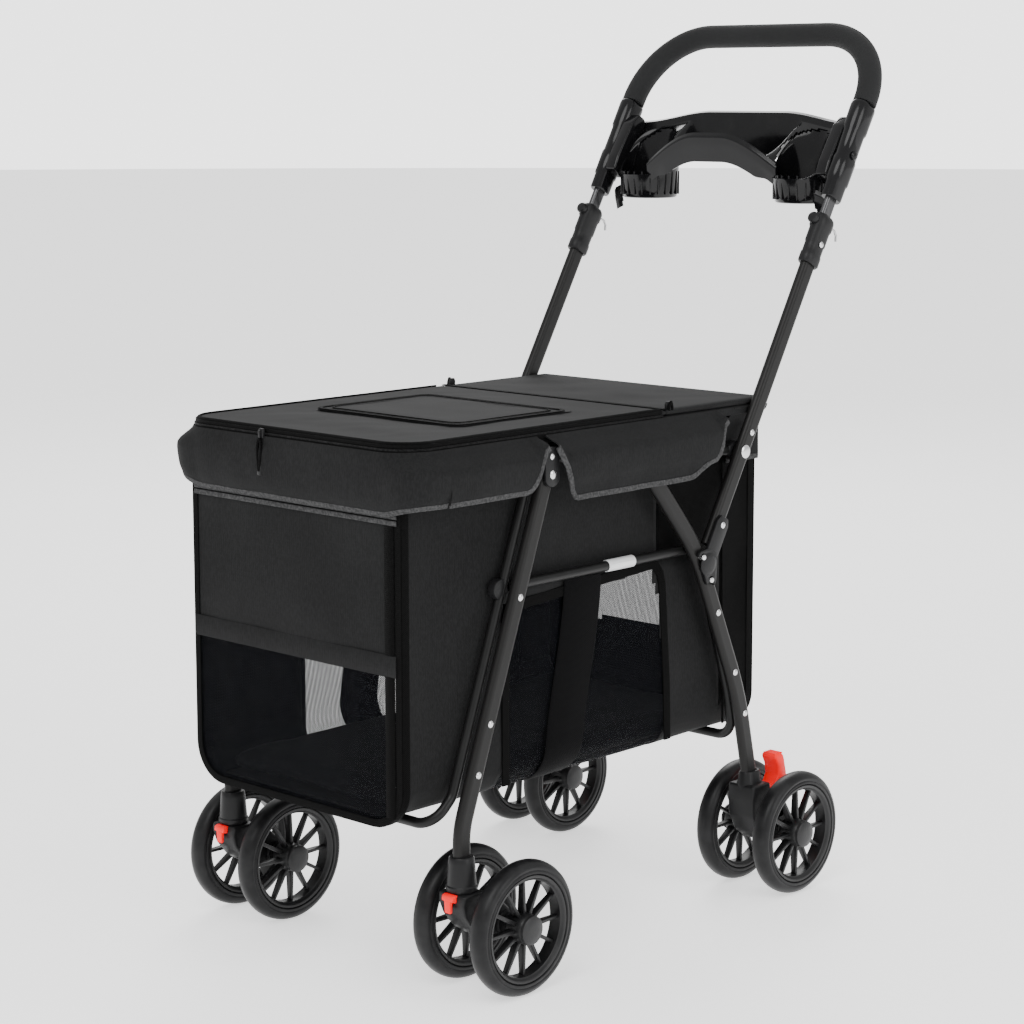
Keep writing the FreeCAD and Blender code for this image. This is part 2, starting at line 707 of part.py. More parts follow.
bends = [size("bend_radius")] * 2
tube_path = bow(size("inner_reach"))
core_section = oval_section(inner_wide, inner_thick, tube_path[0], upright, sideways)
core = sweep(route(tube_path, bends), core_section)
foam_path = bow(size("tray_high") + 0.5)
foam = sweep(route(foam_path, bends), round_section(size("grip_radius"), foam_path[0], upright))
lean(feature(
    "upper_handle_tube", oval_tube(tube_path, bends, inner_wide, inner_thick, size("tube_wall"))
))
lean(feature("foam_grip", foam.cut(core)))

# Tray: two cup wells and a shallow middle, hung between sleeves on the upper handle tube.
cups = []
wells = []
for side, sign in SIDES:
    centre = f"{sign} * cup_x"
    cups.append(rod(
        "cup_radius + cup_wall", "cup_top - cup_floor + cup_wall", centre, "cup_y",
        "cup_floor - cup_wall",
    ))
    wells.append(fuse(
        rod("cup_radius", "cup_top - cup_floor + 1", centre, "cup_y", "cup_floor"),
        rod("cup_radius + cup_wall + 1", "50", centre, "cup_y", "cup_top"),
    ))
middle = box(
    "0 - cup_x", "tray_front", "tray_floor", "2 * cup_x", "tray_back - tray_front",
    "cup_top - tray_floor",
)
back_wall = box(
    "0 - cup_x", "tray_back - 5", "tray_floor", "2 * cup_x", "5", "cup_top + 26 - tray_floor"
)
hollow = box(
    "0 - ( cup_x - cup_radius - 8 )", "tray_front + 5", "tray_floor + 3",
    "2 * ( cup_x - cup_radius - 8 )", "tray_back - tray_front - 10", "cup_top - tray_floor",
)
shells = []
bores = []
for side, sign in SIDES:
    x = f"{sign} * track_half"
    shells.append(oval_bar("leg_wide + 10", "leg_thick + 8", "tray_low", "tray_high", x))
    shells.append(box(
        f"{sign} * ( track_half - 17 ) - 13", "0 - 16", "tray_low + 24", "26", "26", "90"
    ))
    bores.append(oval_bar(
        "leg_wide - 2 * tube_wall - 2 * slide_gap", "leg_thick - 2 * tube_wall - 2 * slide_gap",
        "tray_low - 1", "tray_high + 1", x,
    ))
mounts = lean(cut(fuse(*shells), fuse(*bores)))
tray = cut(cut(cut(fuse(middle, back_wall, mounts, *cups), wells[0]), wells[1]), hollow)
node(tray, "handle_tray")

# Carrier: fabric panels on a stiff rim, a floor board and a cushion. It lifts straight off.
for side, sign in SIDES:
    panel = prism(
        "YZ_Plane",
        [
            ("carrier_front", "rim_low"),
            ("carrier_front", "bottom_front_z + corner_rise"),
            ("carrier_rear", "bottom_rear_z + corner_rise"),
            ("carrier_rear", "rim_low"),
        ],
        "wall",
        offset=f"{sign} * ( carrier_half - wall / 2 ) - wall / 2",
    )
    node(panel, f"side_panel_{side}")
inside = "2 * ( carrier_half - wall )"
for name, y, low in (
    ("front_panel", "carrier_front", "bottom_front_z"),
    ("rear_panel", "carrier_rear - wall", "bottom_rear_z + 0.1"),
):
    node(box("wall - carrier_half", y, low, inside, "wall", f"rim_low - ( {low} )"), name)


def layer(low, thick, gap):
    """A slab that lies on the sloping floor, 'gap' inside the panels."""
    front = f"carrier_front + wall + {gap}"
    rear = f"carrier_rear - wall - {gap}"
    front_z = f"bottom_front_z - ( wall + {gap} ) * floor_fall + {low}"
    rear_z = f"bottom_rear_z + ( wall + {gap} ) * floor_fall + {low}"
    corners = [
        (front, front_z), (rear, rear_z), (rear, f"{rear_z} + {thick}"), (front, f"{front_z} + {thick}")
    ]
    return prism("YZ_Plane", corners, f"2 * floor_half - 2 * {gap}", midplane=True)


node(layer("0", "board_thick", "0"), "floor_board")
node(layer("board_thick + 0.3", "pad_thick", "pad_gap"), "cushion_pad")

def round_front(slab):
    """Round the two upright corners at a slab's front."""
    doc.recompute()
    front = slab.Shape.BoundBox.YMin
    edges = []
    for index, edge in enumerate(slab.Shape.Edges, start=1):
        if edge.BoundBox.XLength < 0.01 and abs(edge.BoundBox.YMax - front) < 0.01:
            edges.append((index, size("corner_radius"), size("corner_radius")))
    rounded = doc.addObject("Part::Fillet", "rounded")
    rounded.Base = slab
    rounded.Edges = edges
    return rounded


# Rim: a stiff ring with a sewn rear top panel, and a skirt over the front and rear panels.
rim_front = "( carrier_front - skirt_out )"
rim_rear = "( carrier_rear + skirt_out )"
ring_slab = box(
    "0 - rim_half", rim_front, "rim_low", "2 * rim_half", f"{rim_rear} - {rim_front}",
    "rim_top - rim_low",
)
rear_top = box(
    "0 - rim_half", "seam_y", "rim_top", "2 * rim_half", f"{rim_rear} - seam_y", "lid_thick"
)
mouth = box(
    "wall - carrier_half", "carrier_front + rim_width_y", "rim_low - 1",
    inside, "seam_y - carrier_front - 2 * rim_width_y", "rim_top - rim_low + 2",
)
skirt_half = "( carrier_half + 1 )"
skirts = []
for y in (rim_front, "carrier_rear + 0.3"):
    skirts.append(box(
        f"0 - {skirt_half}", y, "skirt_low", f"2 * {skirt_half}", "skirt_out - 0.3",
        "rim_low - skirt_low",
    ))
node(fuse(cut(fuse(round_front(ring_slab), rear_top), mouth), *skirts), "carrier_rim")

# Side flaps: soft cloth that hangs from the rim over the rails, notched round each leg bracket.
flap_outline = [
    ("flap_front", "rim_top"),
    ("flap_front", "flap_low + 12"),
    ("flap_front + 12", "flap_low"),
    ("front_pivot_y - notch_low - 12", "flap_low"),
    ("front_pivot_y - notch_low", "flap_low + 12"),
    ("front_pivot_y - 4", "rim_low - 3"),
    ("front_pivot_y + 4", "rim_low - 3"),
    ("front_pivot_y + notch_low", "flap_low + 12"),
    ("front_pivot_y + notch_low + 12", "flap_low"),
    ("flap_rear - 38", "flap_low"),
    ("flap_rear - 26", "flap_low + 12"),
    ("flap_rear", "rim_top"),
]
flaps = []
for side, sign in SIDES:
    cloth = prism(
        "YZ_Plane", flap_outline, "flap_thick",
        offset=f"{sign} * ( flap_out + flap_thick / 2 ) - flap_thick / 2",
    )
    shelf = box(
        outboard(sign, "rim_half + 0.2 - track_half", "( flap_out - rim_half - 0.2 )"),
        "flap_front", "rim_low", "flap_out - rim_half - 0.2", "flap_rear - flap_front", "flap_thick",
    )
    flaps.append(fuse(shelf, cloth))
node(group(*flaps), "side_flaps")

# Lid: a padded cloth panel that hinges up on the seam, with a window flap sewn to its top.
lid_slab = box(
    "0 - rim_half", rim_front, "rim_top + lid_gap", "2 * rim_half",
    f"seam_y - lid_gap - {rim_front}", "lid_thick - lid_gap",
)
node(round_front(lid_slab), "lid")
window = box(
    "0 - window_half", "window_front", "rim_top + lid_thick + lid_gap", "2 * window_half",
    "window_rear - window_front", "window_thick",
)
node(window, "window_flap")


# Rivets and pins: round silver heads that stand on the outer faces of the tubes.
def rivets(label, points, inner="leg_thick / 2"):
    heads = []
    for side, sign in SIDES:
        for y, z in points:
            x = outboard(sign, inner, "rivet_height")
            heads.append(rod("rivet_radius", "rivet_height", x, y, z, "X"))
    return node(group(*heads), label)


def on_leg(drop):
    """A point on the front leg's line, 'drop' below its pivot."""
    slope = "( ( stem_y - front_pivot_y ) / ( front_pivot_z - knee_z ) )"
    return f"front_pivot_y + {drop} * {slope}", f"front_pivot_z - {drop}"


rivets("front_leg_rivets", [on_leg(130), on_leg(262), on_leg(315)])
rivets(
    "rear_leg_rivets",
    [("bow_y + 35", "bar_z - 79"), ("bow_y + 68", "bar_z - 157"), ("calf_y + 6", "calf_z - 23")],
)
hook_pins = []
for side, sign in SIDES:
    x = outboard(sign, "leg_thick / 2", "( plate_thick + 2 )")
    for hook_y, hook_z, _ in HOOKS:
        hook_pins.append(rod("pin_radius", "plate_thick + 2", x, hook_y, hook_z, "X"))
node(group(*hook_pins), "hook_pins")

doc.recompute()
problems = []
for item in doc.Objects:
    if "Invalid" in item.State or "Error" in item.State:
        problems.append(f"{item.Label}: {item.State}")
for item in nodes:
    if item.Shape.isNull() or not item.Shape.isValid() or not item.Shape.Solids:
        problems.append(f"{item.Label}: bad shape")
if problems:
    raise SystemExit("\n".join(problems))
for item in nodes:
    item.Shape.exportStep(f"parts/{item.Label}.step")
print(len(nodes), "nodes written")
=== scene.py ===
import math
import bmesh
import bpy
from mathutils import Matrix, Vector, noise


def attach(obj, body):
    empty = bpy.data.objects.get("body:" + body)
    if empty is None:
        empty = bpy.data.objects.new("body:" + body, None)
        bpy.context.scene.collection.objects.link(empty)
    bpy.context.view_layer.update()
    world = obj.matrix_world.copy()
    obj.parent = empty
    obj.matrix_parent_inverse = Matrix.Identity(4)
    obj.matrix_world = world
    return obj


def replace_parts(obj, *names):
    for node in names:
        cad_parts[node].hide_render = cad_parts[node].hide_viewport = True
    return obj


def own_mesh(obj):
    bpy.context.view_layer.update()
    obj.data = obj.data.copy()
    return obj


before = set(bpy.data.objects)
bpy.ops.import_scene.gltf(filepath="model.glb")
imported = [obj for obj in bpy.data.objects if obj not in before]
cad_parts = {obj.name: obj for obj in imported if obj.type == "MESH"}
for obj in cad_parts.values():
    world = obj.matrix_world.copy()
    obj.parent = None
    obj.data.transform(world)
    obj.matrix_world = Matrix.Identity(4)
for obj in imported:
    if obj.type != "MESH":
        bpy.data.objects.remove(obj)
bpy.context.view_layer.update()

# Studio: a plain pale floor, soft light from above and both sides, and a camera a little above
# the lid that looks at the stroller's front right corner.
AZIMUTH, ELEVATION, DISTANCE = math.radians(42.83), math.radians(8.0), 3.0157
AIM = Vector((0, -0.018, 0.5496))
view_line = Vector((
    math.sin(AZIMUTH) * math.cos(ELEVATION),
    -math.cos(AZIMUTH) * math.cos(ELEVATION),
    math.sin(ELEVATION),
))
camera = bpy.data.objects.new("camera", bpy.data.cameras.new("camera"))
bpy.context.scene.collection.objects.link(camera)
camera.location = AIM + view_line * DISTANCE
camera.rotation_euler = (-view_line).to_track_quat("-Z", "Y").to_euler()
camera.data.lens = 88.3
camera.data.sensor_width = 36
camera.data.shift_x = -0.0317
camera.data.shift_y = -0.0645
bpy.context.scene.camera = camera


def lamp(name, place, size, power):
    light = bpy.data.lights.new(name, "AREA")
    light.shape = "DISK"
    light.size = size
    light.energy = power
    item = bpy.data.objects.new(name, light)
    item.location = place
    item.rotation_euler = (AIM - Vector(place)).to_track_quat("-Z", "Y").to_euler()
    bpy.context.scene.collection.objects.link(item)


lamp("key_light", (1.0, -2.4, 3.2), 2.4, 70)
lamp("side_light", (3.4, 0.2, 1.7), 2.0, 42)
lamp("rear_light", (-2.2, 2.4, 2.8), 2.2, 60)
world = bpy.data.worlds.new("studio")
world.use_nodes = True
sky = world.node_tree.nodes["Background"]
sky.inputs["Color"].default_value = (1, 1, 1, 1)
light_path = world.node_tree.nodes.new("ShaderNodeLightPath")
backdrop = world.node_tree.nodes.new("ShaderNodeMapRange")
backdrop.inputs["To Min"].default_value = 0.95
backdrop.inputs["To Max"].default_value = 2.9
world.node_tree.links.new(light_path.outputs["Is Camera Ray"], backdrop.inputs["Value"])
world.node_tree.links.new(backdrop.outputs["Result"], sky.inputs["Strength"])
bpy.context.scene.world = world


class Signal:
    """One shader socket. Arithmetic on it adds Math nodes to its finish."""

    def __init__(self, finish, socket):
        self.finish = finish
        self.socket = socket

    def maths(self, operation, *values):
        return self.finish.node("Math", {"operation": operation}, dict(enumerate(values)))

    def __add__(self, other):
        return self.maths("ADD", self, other)

    __radd__ = __add__

    def __mul__(self, other):
        return self.maths("MULTIPLY", self, other)

    __rmul__ = __mul__

    def __sub__(self, other):
        return self.maths("SUBTRACT", self, other)

    def __rsub__(self, other):
        return self.maths("SUBTRACT", other, self)

    def sine(self):
        return self.maths("SINE", self)

    def absolute(self):
        return self.maths("ABSOLUTE", self)

    def rise(self, low, high):
        """0 below low, 1 above high, and a smooth slope between them."""
        return self.finish.node(
            "MapRange", {"interpolation_type": "SMOOTHSTEP"}, {0: self, 1: low, 2: high, 3: 0.0, 4: 1.0}
        )


class Finish:
    """A procedural material whose patterns are read from object coordinates."""

    def __init__(self, name, rough, **constants):
        self.material = bpy.data.materials.new(name)
        self.material.use_nodes = True
        self.tree = self.material.node_tree
        self.shader = self.tree.nodes["Principled BSDF"]
        self.shader.inputs["Roughness"].default_value = rough
        for socket, value in constants.items():
            self.shader.inputs[socket.replace("_", " ")].default_value = value

    def node(self, kind, settings, inputs, output=0):
        item = self.tree.nodes.new("ShaderNode" + kind)
        for key, value in settings.items():
            setattr(item, key, value)
        for key, value in inputs.items():
            if isinstance(value, Signal):
                self.tree.links.new(value.socket, item.inputs[key])
            else:
                item.inputs[key].default_value = value
        return Signal(self, item.outputs[output])

    def place(self, stretch=(1, 1, 1)):
        """Object coordinates in metres, stretched along the axes."""
        spot = self.node("TexCoord", {}, {}, "Object")
        return self.node("Mapping", {}, {"Vector": spot, "Scale": stretch})

    def axes(self):
        spot = self.node("SeparateXYZ", {}, {0: self.place()})
        split = spot.socket.node
        return [Signal(self, split.outputs[i]) for i in range(3)]

    def speckle(self, scale, detail=2.0, stretch=(1, 1, 1)):
        return self.node(
            "TexNoise", {}, {"Vector": self.place(stretch), "Scale": scale, "Detail": detail}
        )

    def tint(self, amount, low, high):
        """A colour that runs from low to high as amount goes from 0 to 1."""
        return self.node(
            "Mix", {"data_type": "RGBA"}, {0: amount, 6: (*low, 1), 7: (*high, 1)}, 2
        )

    def feed(self, socket, signal):
        self.tree.links.new(signal.socket, self.shader.inputs[socket])

    def bump(self, height, depth, strength=1.0):
        relief = self.node("Bump", {}, {"Height": height, "Distance": depth, "Strength": strength})
        self.feed("Normal", relief)

    def done(self, low, high, amount, rough_low, rough_high, rough_amount):
        self.feed("Base Color", self.tint(amount, low, high))
        self.feed("Roughness", rough_amount * (rough_high - rough_low) + rough_low)
        return self.material


def piece(name, form, finish, body, slot=None, smooth=40, sharp=True):
    """Make a finished object in metres from a form in millimetres, and let it ride on a body."""
    bmesh.ops.remove_doubles(form, verts=form.verts, dist=0.002)
    bmesh.ops.recalc_face_normals(form, faces=form.faces)
    bmesh.ops.scale(form, vec=(0.001, 0.001, 0.001), verts=form.verts)
    mesh = bpy.data.meshes.new(name)
    form.to_mesh(mesh)
    form.free()
    item = bpy.data.objects.new(name, mesh)
    bpy.context.scene.collection.objects.link(item)
    mesh.materials.append(finish)
    mesh.shade_smooth()
    if sharp:
        mesh.set_sharp_from_angle(angle=math.radians(smooth))
    if body:
        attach(item, body)
    return item


floor_paint = Finish("floor_paint", 0.6, Emission_Strength=1.0)
mottle = floor_paint.speckle(3.0)
floor_paint.done((0.92, 0.92, 0.92), (0.95, 0.95, 0.95), mottle, 0.55, 0.7, mottle)
form = bmesh.new()
bmesh.ops.create_circle(form, cap_ends=True, segments=96, radius=30000)
piece("studio_floor", form, floor_paint.material, None)

# Wheels: eight rubber tyres, each on a moulded rim with twelve thin spokes and a wide hub. The
# tyre is glossy and round-shouldered, with a groove round each side where it meets the rim.
WHEEL_RADIUS, RIM_RADIUS, TWIN_HALF, TRACK_HALF = 75, 60, 42.8, 189
AXLES = (("front", -304), ("rear", 181.5))
SIDES = (("left", -1), ("right", 1))


def fresh(form, before):
    return [corner for corner in form.verts if corner not in before]


def lathe(form, profile, place=Matrix(), steps=48, closed=False):
    """Spin (along, radius) corners about X, then put the result in its place."""
    before = set(form.verts)
    corners = [form.verts.new((along, 0, radius)) for along, radius in profile]
    pairs = list(zip(corners, corners[1:])) + ([(corners[-1], corners[0])] if closed else [])
    edges = [form.edges.new(pair) for pair in pairs]
    bmesh.ops.spin(
        form, geom=corners + edges, axis=(1, 0, 0), cent=(0, 0, 0), angle=math.tau, steps=steps,
        use_merge=True,
    )
    bmesh.ops.remove_doubles(form, verts=fresh(form, before), dist=0.001)
    bmesh.ops.transform(form, matrix=place, verts=fresh(form, before))
    return fresh(form, before)


def slab(form, outline, low, high, bevel=0.0, place=Matrix(), segments=2):
    """Extrude (y, z) corners along X from low to high and round every edge."""
    before = set(form.verts)
    face = form.faces.new([form.verts.new((low, y, z)) for y, z in outline])
    grown = bmesh.ops.extrude_face_region(form, geom=[face])["geom"]
    moved = [item for item in grown if isinstance(item, bmesh.types.BMVert)]
    bmesh.ops.translate(form, vec=(high - low, 0, 0), verts=moved)
    if bevel:
        edges = list({edge for corner in fresh(form, before) for edge in corner.link_edges})
        bmesh.ops.bevel(
            form, geom=edges, offset=bevel, segments=segments, profile=0.5, affect="EDGES",
            material=-1, clamp_overlap=True,
        )
    bmesh.ops.transform(form, matrix=place, verts=fresh(form, before))
    return fresh(form, before)


def moved_to(x, y, z):
    return Matrix.Translation((x, y, z))


def turned_out(sign):
    """Make a shape that is built towards +X look the way that sign says."""
    return Matrix.Rotation(math.pi, 4, "Z") if sign < 0 else Matrix()


tyre_rubber = Finish("tyre_rubber", 0.4, Coat_Weight=0.04, Coat_Roughness=0.35, Specular_IOR_Level=0.18)
dust = tyre_rubber.speckle(60, 4)
tyre_rubber.bump(tyre_rubber.speckle(900, 2), 0.0003, 0.3)
tyre_rubber.done((0.006, 0.006, 0.0065), (0.013, 0.013, 0.0135), dust.rise(0.35, 0.75), 0.3, 0.48, dust)
wheel_plastic = Finish("wheel_plastic", 0.4, Specular_IOR_Level=0.35)
grain = wheel_plastic.speckle(420, 3)
wheel_plastic.bump(grain, 0.0004, 0.35)
wheel_plastic.done((0.006, 0.006, 0.0065), (0.012, 0.012, 0.0125), grain, 0.34, 0.5, grain)

tyre_side = [(10.5, 60.0), (12.0, 61.2), (12.0, 63.6), (11.2, 64.6), (11.9, 65.8), (11.5, 68.2),
             (10.2, 70.8), (7.8, 73.2), (4.2, 74.6), (1.2, 75.0)]
tyre_profile = [(-along, radius) for along, radius in tyre_side] + tyre_side[::-1]
ring_side = [(10.4, 59.9), (11.3, 59.2), (11.3, 57.2), (10.2, 55.8), (8.4, 55.2), (7.2, 53.4), (3.0, 53.0)]
ring_profile = [(-along, radius) for along, radius in ring_side] + ring_side[::-1]
hub_side = [(14.0, 4.15), (14.0, 9.5), (13.2, 10.4), (13.2, 13.2), (12.4, 15.4), (10.6, 16.4), (7.0, 17.0)]
hub_profile = [(-along, radius) for along, radius in hub_side] + hub_side[::-1]
cap_profile = [(18.3, 0), (18.3, 8), (17.4, 11.2), (13.4, 11.2), (13.4, 16.3), (16.2, 15.8), (17.8, 13),
               (18.9, 6), (18.9, 0)]
for end, axle_y in AXLES:
    for side, sign in SIDES:
        for pair_side, offset in (("inner", -1), ("outer", 1)):
            name = f"{end}_{side}_{pair_side}"
            place = moved_to(sign * (TRACK_HALF + offset * TWIN_HALF), axle_y, WHEEL_RADIUS)
            form = bmesh.new()
            lathe(form, tyre_profile, place, 96, True)
            tyre = piece(f"wheel_tyre_{name}", form, tyre_rubber.material, f"wheel_{name}", "tyre")
            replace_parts(tyre, f"tyre_{name}")
            form = bmesh.new()
            lathe(form, ring_profile, place, 72, True)
            lathe(form, hub_profile, place, 40, True)
            lathe(form, cap_profile, place @ turned_out(sign * offset), 40)
            for turn in range(12):
                spoke = slab(
                    form, [(-2.2, 15), (2.2, 15), (1.7, 54.5), (-1.7, 54.5)], -4.5, 4.5, 0.9, Matrix(), 2
                )
                for corner in spoke:
                    corner.co.x *= 1.15 - 0.01 * (corner.co.z - 15)
                turned = place @ Matrix.Rotation(math.radians(30 * turn), 4, "X")
                bmesh.ops.transform(form, matrix=turned, verts=spoke)
            rim = piece(f"wheel_rim_{name}", form, wheel_plastic.material, f"wheel_{name}", "wheel_plastic")
            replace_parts(rim, f"rim_{name}")

# Axles: plain steel pins with round heads, one through each caster fork and rear housing.
axle_steel = Finish("axle_steel", 0.3, Metallic=1.0)
scratches = axle_steel.speckle(300, 3, (0.15, 1, 1))
axle_steel.bump(scratches, 0.0002, 0.3)
axle_steel.done((0.42, 0.42, 0.43), (0.6, 0.6, 0.6), scratches, 0.22, 0.42, scratches)


def dress(node, finish):
    """Give a CAD node a better finish without touching its mesh."""
    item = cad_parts[node]
    for index in range(len(item.material_slots)):
        item.material_slots[index].material = finish


for node in ("axle_front_left", "axle_front_right", "rear_axles"):
    dress(node, axle_steel.material)

# Front casters: a moulded fork trails behind its stem under a plastic socket. A red latch at the
# front of the fork stops it from swivelling.
STEM_Y = -353
black_plastic = Finish("black_plastic", 0.42, Specular_IOR_Level=0.2)
pebble = black_plastic.speckle(700, 2)
haze = black_plastic.speckle(14, 3)
black_plastic.bump(pebble, 0.0004, 0.35)
black_plastic.done((0.006, 0.006, 0.0065), (0.012, 0.012, 0.0125), haze, 0.32, 0.5, pebble)
# Red plastic for the latches and pedals. Its faint red emission is a painted glow that brightens the red beyond what
# the lamps give.
red_plastic = Finish(
    "red_plastic", 0.4, Specular_IOR_Level=0.2, Emission_Strength=0.28, Emission_Color=(0.9, 0.003, 0.006, 1)
)
bloom = red_plastic.speckle(40, 3)
red_plastic.bump(red_plastic.speckle(700, 2), 0.0003, 0.3)
red_plastic.done((0.90, 0.002, 0.004), (0.98, 0.004, 0.006), bloom, 0.28, 0.42, bloom)
UPRIGHT = Matrix.Rotation(math.radians(-90), 4, "Y")

for side, sign in SIDES:
    centre = sign * TRACK_HALF
    form = bmesh.new()
    arm = slab(
        form,
        [
            (-369, 118.8), (-370, 108), (-365, 94), (-352, 77), (-331, 63), (-310, 59), (-294, 62),
            (-289, 72), (-292, 86), (-312, 104), (-331, 114), (-336, 118.8),
        ],
        centre - 20, centre + 20, 3.4, Matrix(), 3,
    )
    for corner in arm:
        waist = min(1.0, max(0.0, (118 - corner.co.z) / 45))
        corner.co.x = centre + (corner.co.x - centre) * (1 - 0.16 * waist)
    lathe(
        form, [(-20, 4.2), (-20, 12), (-18.5, 13.5), (18.5, 13.5), (20, 12), (20, 4.2)],
        moved_to(centre, -304, WHEEL_RADIUS), 40, True,
    )
    fork = piece(f"fork_{side}", form, black_plastic.material, f"caster_{side}", "black_plastic")
    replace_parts(fork, f"caster_fork_{side}")
    form = bmesh.new()
    slab(
        form, [(-376, 112), (-375, 117.6), (-371, 119), (-366.4, 118), (-366.4, 110), (-371, 110)],
        centre - 8.5, centre + 8.5, 1.4, Matrix(), 2,
    )
    slab(form, [(-376, 113), (-371, 113), (-371.6, 98.6), (-375, 98)], centre - 4.6, centre + 4.6, 1.2)
    latch = piece(f"latch_{side}", form, red_plastic.material, f"latch_{side}", "red_plastic")
    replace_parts(latch, f"swivel_latch_{side}")

form = bmesh.new()
for side, sign in SIDES:
    lathe(
        form,
        [
            (119.2, 0), (119.2, 16.4), (121, 17.4), (125, 17.4), (126.4, 16.2), (128, 16.2), (137, 15.4),
            (150, 14.6), (156, 13.8), (157.4, 12.6), (157.4, 0),
        ],
        moved_to(sign * TRACK_HALF, STEM_Y, 0) @ UPRIGHT, 40,
    )
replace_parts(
    piece("stem_sockets", form, black_plastic.material, "front_legs", "black_plastic"), "caster_sockets"
)

# Rear wheel housings: a moulded block under each rear leg that holds the axle. Two lugs and a pin
# carry the red brake pedal, which has a ribbed tread for the foot.
REAR_AXLE_Y, FOOT_Y = 181.5, 146


def arc(y, z, radius, start, end, steps):
    """(y, z) corners along part of a circle, its angles in degrees."""
    angles = [math.radians(start + (end - start) * i / steps) for i in range(steps + 1)]
    return [(y + radius * math.cos(angle), z + radius * math.sin(angle)) for angle in angles]


def sleeve(form, profile, wide, thick, place=Matrix(), turns=8):
    """A ring round a flat-oval tube: (along, grow) corners, grown out from the tube's surface."""
    before = set(form.verts)
    columns, rows = 2 * turns + 2, len(profile)
    bmesh.ops.create_grid(form, x_segments=columns, y_segments=rows, size=1)
    for corner in fresh(form, before):
        column = round((corner.co.x + 1) / 2 * columns) % columns
        along, grow = profile[round((corner.co.y + 1) / 2 * rows) % rows]
        end = 1 if column <= turns else -1
        angle = math.pi * (column if end > 0 else column - 1) / turns
        reach = thick / 2 + grow
        corner.co = (
            reach * math.cos(angle), end * (wide - thick) / 2 + reach * math.sin(angle), along
        )
    bmesh.ops.remove_doubles(form, verts=fresh(form, before), dist=0.001)
    bmesh.ops.transform(form, matrix=place, verts=fresh(form, before))
    return fresh(form, before)


form = bmesh.new()
for side, sign in SIDES:
    centre = sign * TRACK_HALF
    slab(
        form,
        [
            (129, 137), (128, 120), (130, 98), (141, 76), (160, 62), (178, 59.5), (193, 63), (198.5, 74),
            (197.5, 90), (189, 101), (172, 109), (164, 122), (163, 137),
        ],
        centre - 20, centre + 20, 3.2, Matrix(), 3,
    )
    for low in (-20, 11.5):
        slab(
            form, [(176, 88), (175.6, 116)] + arc(183, 119, 7.2, 170, 10, 6) + [(190.4, 116), (190, 88)],
            centre + low, centre + low + 8.5, 1.4,
        )
    lathe(
        form, [(-20.4, 4.2), (-20.4, 11), (-19, 12.6), (19, 12.6), (20.4, 11), (20.4, 4.2)],
        moved_to(centre, REAR_AXLE_Y, WHEEL_RADIUS), 40, True,
    )
    lathe(form, [(-20.6, 0), (-20.6, 3), (20.6, 3), (20.6, 0)], moved_to(centre, 183, 119), 20)
    sleeve(
        form, [(131, 0.1), (131, 6.5), (137, 6.5), (140, 5), (150, 4), (152, 2.8), (152, 0.1)], 22, 12,
        moved_to(centre, FOOT_Y, 0),
    )
housings = piece("axle_housings", form, black_plastic.material, "rear_legs", "black_plastic")
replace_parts(housings, "rear_housings")

for side, sign in SIDES:
    centre = sign * TRACK_HALF
    form = bmesh.new()
    slab(
        form,
        [
            (176.6, 124.5), (182, 111), (189, 114), (204, 120.5), (207, 127), (206, 140), (202, 156),
            (199.6, 163), (192, 165), (184, 164.4), (183.4, 160), (188.5, 150), (190.4, 138), (185, 129),
        ],
        centre - 11, centre + 11, 2.0, Matrix(), 3,
    )
    lathe(
        form, [(-11, 3.1), (-11, 8), (-10, 9), (10, 9), (11, 8), (11, 3.1)],
        moved_to(centre, 183, 119), 32, True,
    )
    for rib in range(4):
        slab(
            form,
            [(start + 4 * rib, z) for start, z in ((184.5, 163.6), (184.9, 166), (186.6, 166), (187, 163.6))],
            centre - 9.4, centre + 9.4, 0.5,
        )
    pedal = piece(f"foot_pedal_{side}", form, red_plastic.material, f"pedal_{side}", "red_plastic")
    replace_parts(pedal, f"brake_pedal_{side}")

# Legs, rails and hoops: bent tube with a dark, slightly metallic coat. Their own shapes are kept.
frame_coat = Finish(
    "frame_coat", 0.38, Metallic=0.3, Coat_Weight=0.03, Coat_Roughness=0.35, Specular_IOR_Level=0.16
)
flake = frame_coat.speckle(1600, 2)
rub = frame_coat.speckle(25, 4, (1, 1, 0.3))
frame_coat.bump(frame_coat.speckle(500, 3), 0.0003, 0.2)
frame_coat.done((0.009, 0.0088, 0.0087), (0.018, 0.0175, 0.0172), flake, 0.3, 0.45, rub)
hoop_coat = Finish("hoop_coat", 0.36, Coat_Weight=0.03, Coat_Roughness=0.3, Specular_IOR_Level=0.18)
sheen = hoop_coat.speckle(30, 3)
hoop_coat.bump(hoop_coat.speckle(600, 3), 0.0003, 0.2)
hoop_coat.done((0.005, 0.005, 0.005), (0.01, 0.01, 0.01), sheen, 0.28, 0.42, sheen)
for side, sign in SIDES:
    for node in (f"front_leg_{side}", f"rear_leg_{side}", f"lower_handle_tube_{side}"):
        dress(node, frame_coat.material)
inner_coat = Finish("inner_tube_coat", 0.28, Metallic=0.8)
draw_line = inner_coat.speckle(260, 3, (1, 1, 0.1))
inner_coat.bump(draw_line, 0.0002, 0.25)
inner_coat.done((0.05, 0.05, 0.052), (0.1, 0.1, 0.102), draw_line, 0.22, 0.36, draw_line)
dress("upper_handle_tube", inner_coat.material)
for node in ("top_rails", "side_bars", "front_hoop", "rear_hoop"):
    dress(node, hoop_coat.material)

# Rivets and pins: domed bright steel heads that fix the legs' plastic parts and linings.
rivet_steel = Finish("rivet_steel", 0.2, Metallic=1.0)
buff = rivet_steel.speckle(900, 3)
rivet_steel.bump(buff, 0.0001, 0.25)
rivet_steel.done((0.55, 0.55, 0.56), (0.78, 0.78, 0.78), buff, 0.16, 0.3, buff)


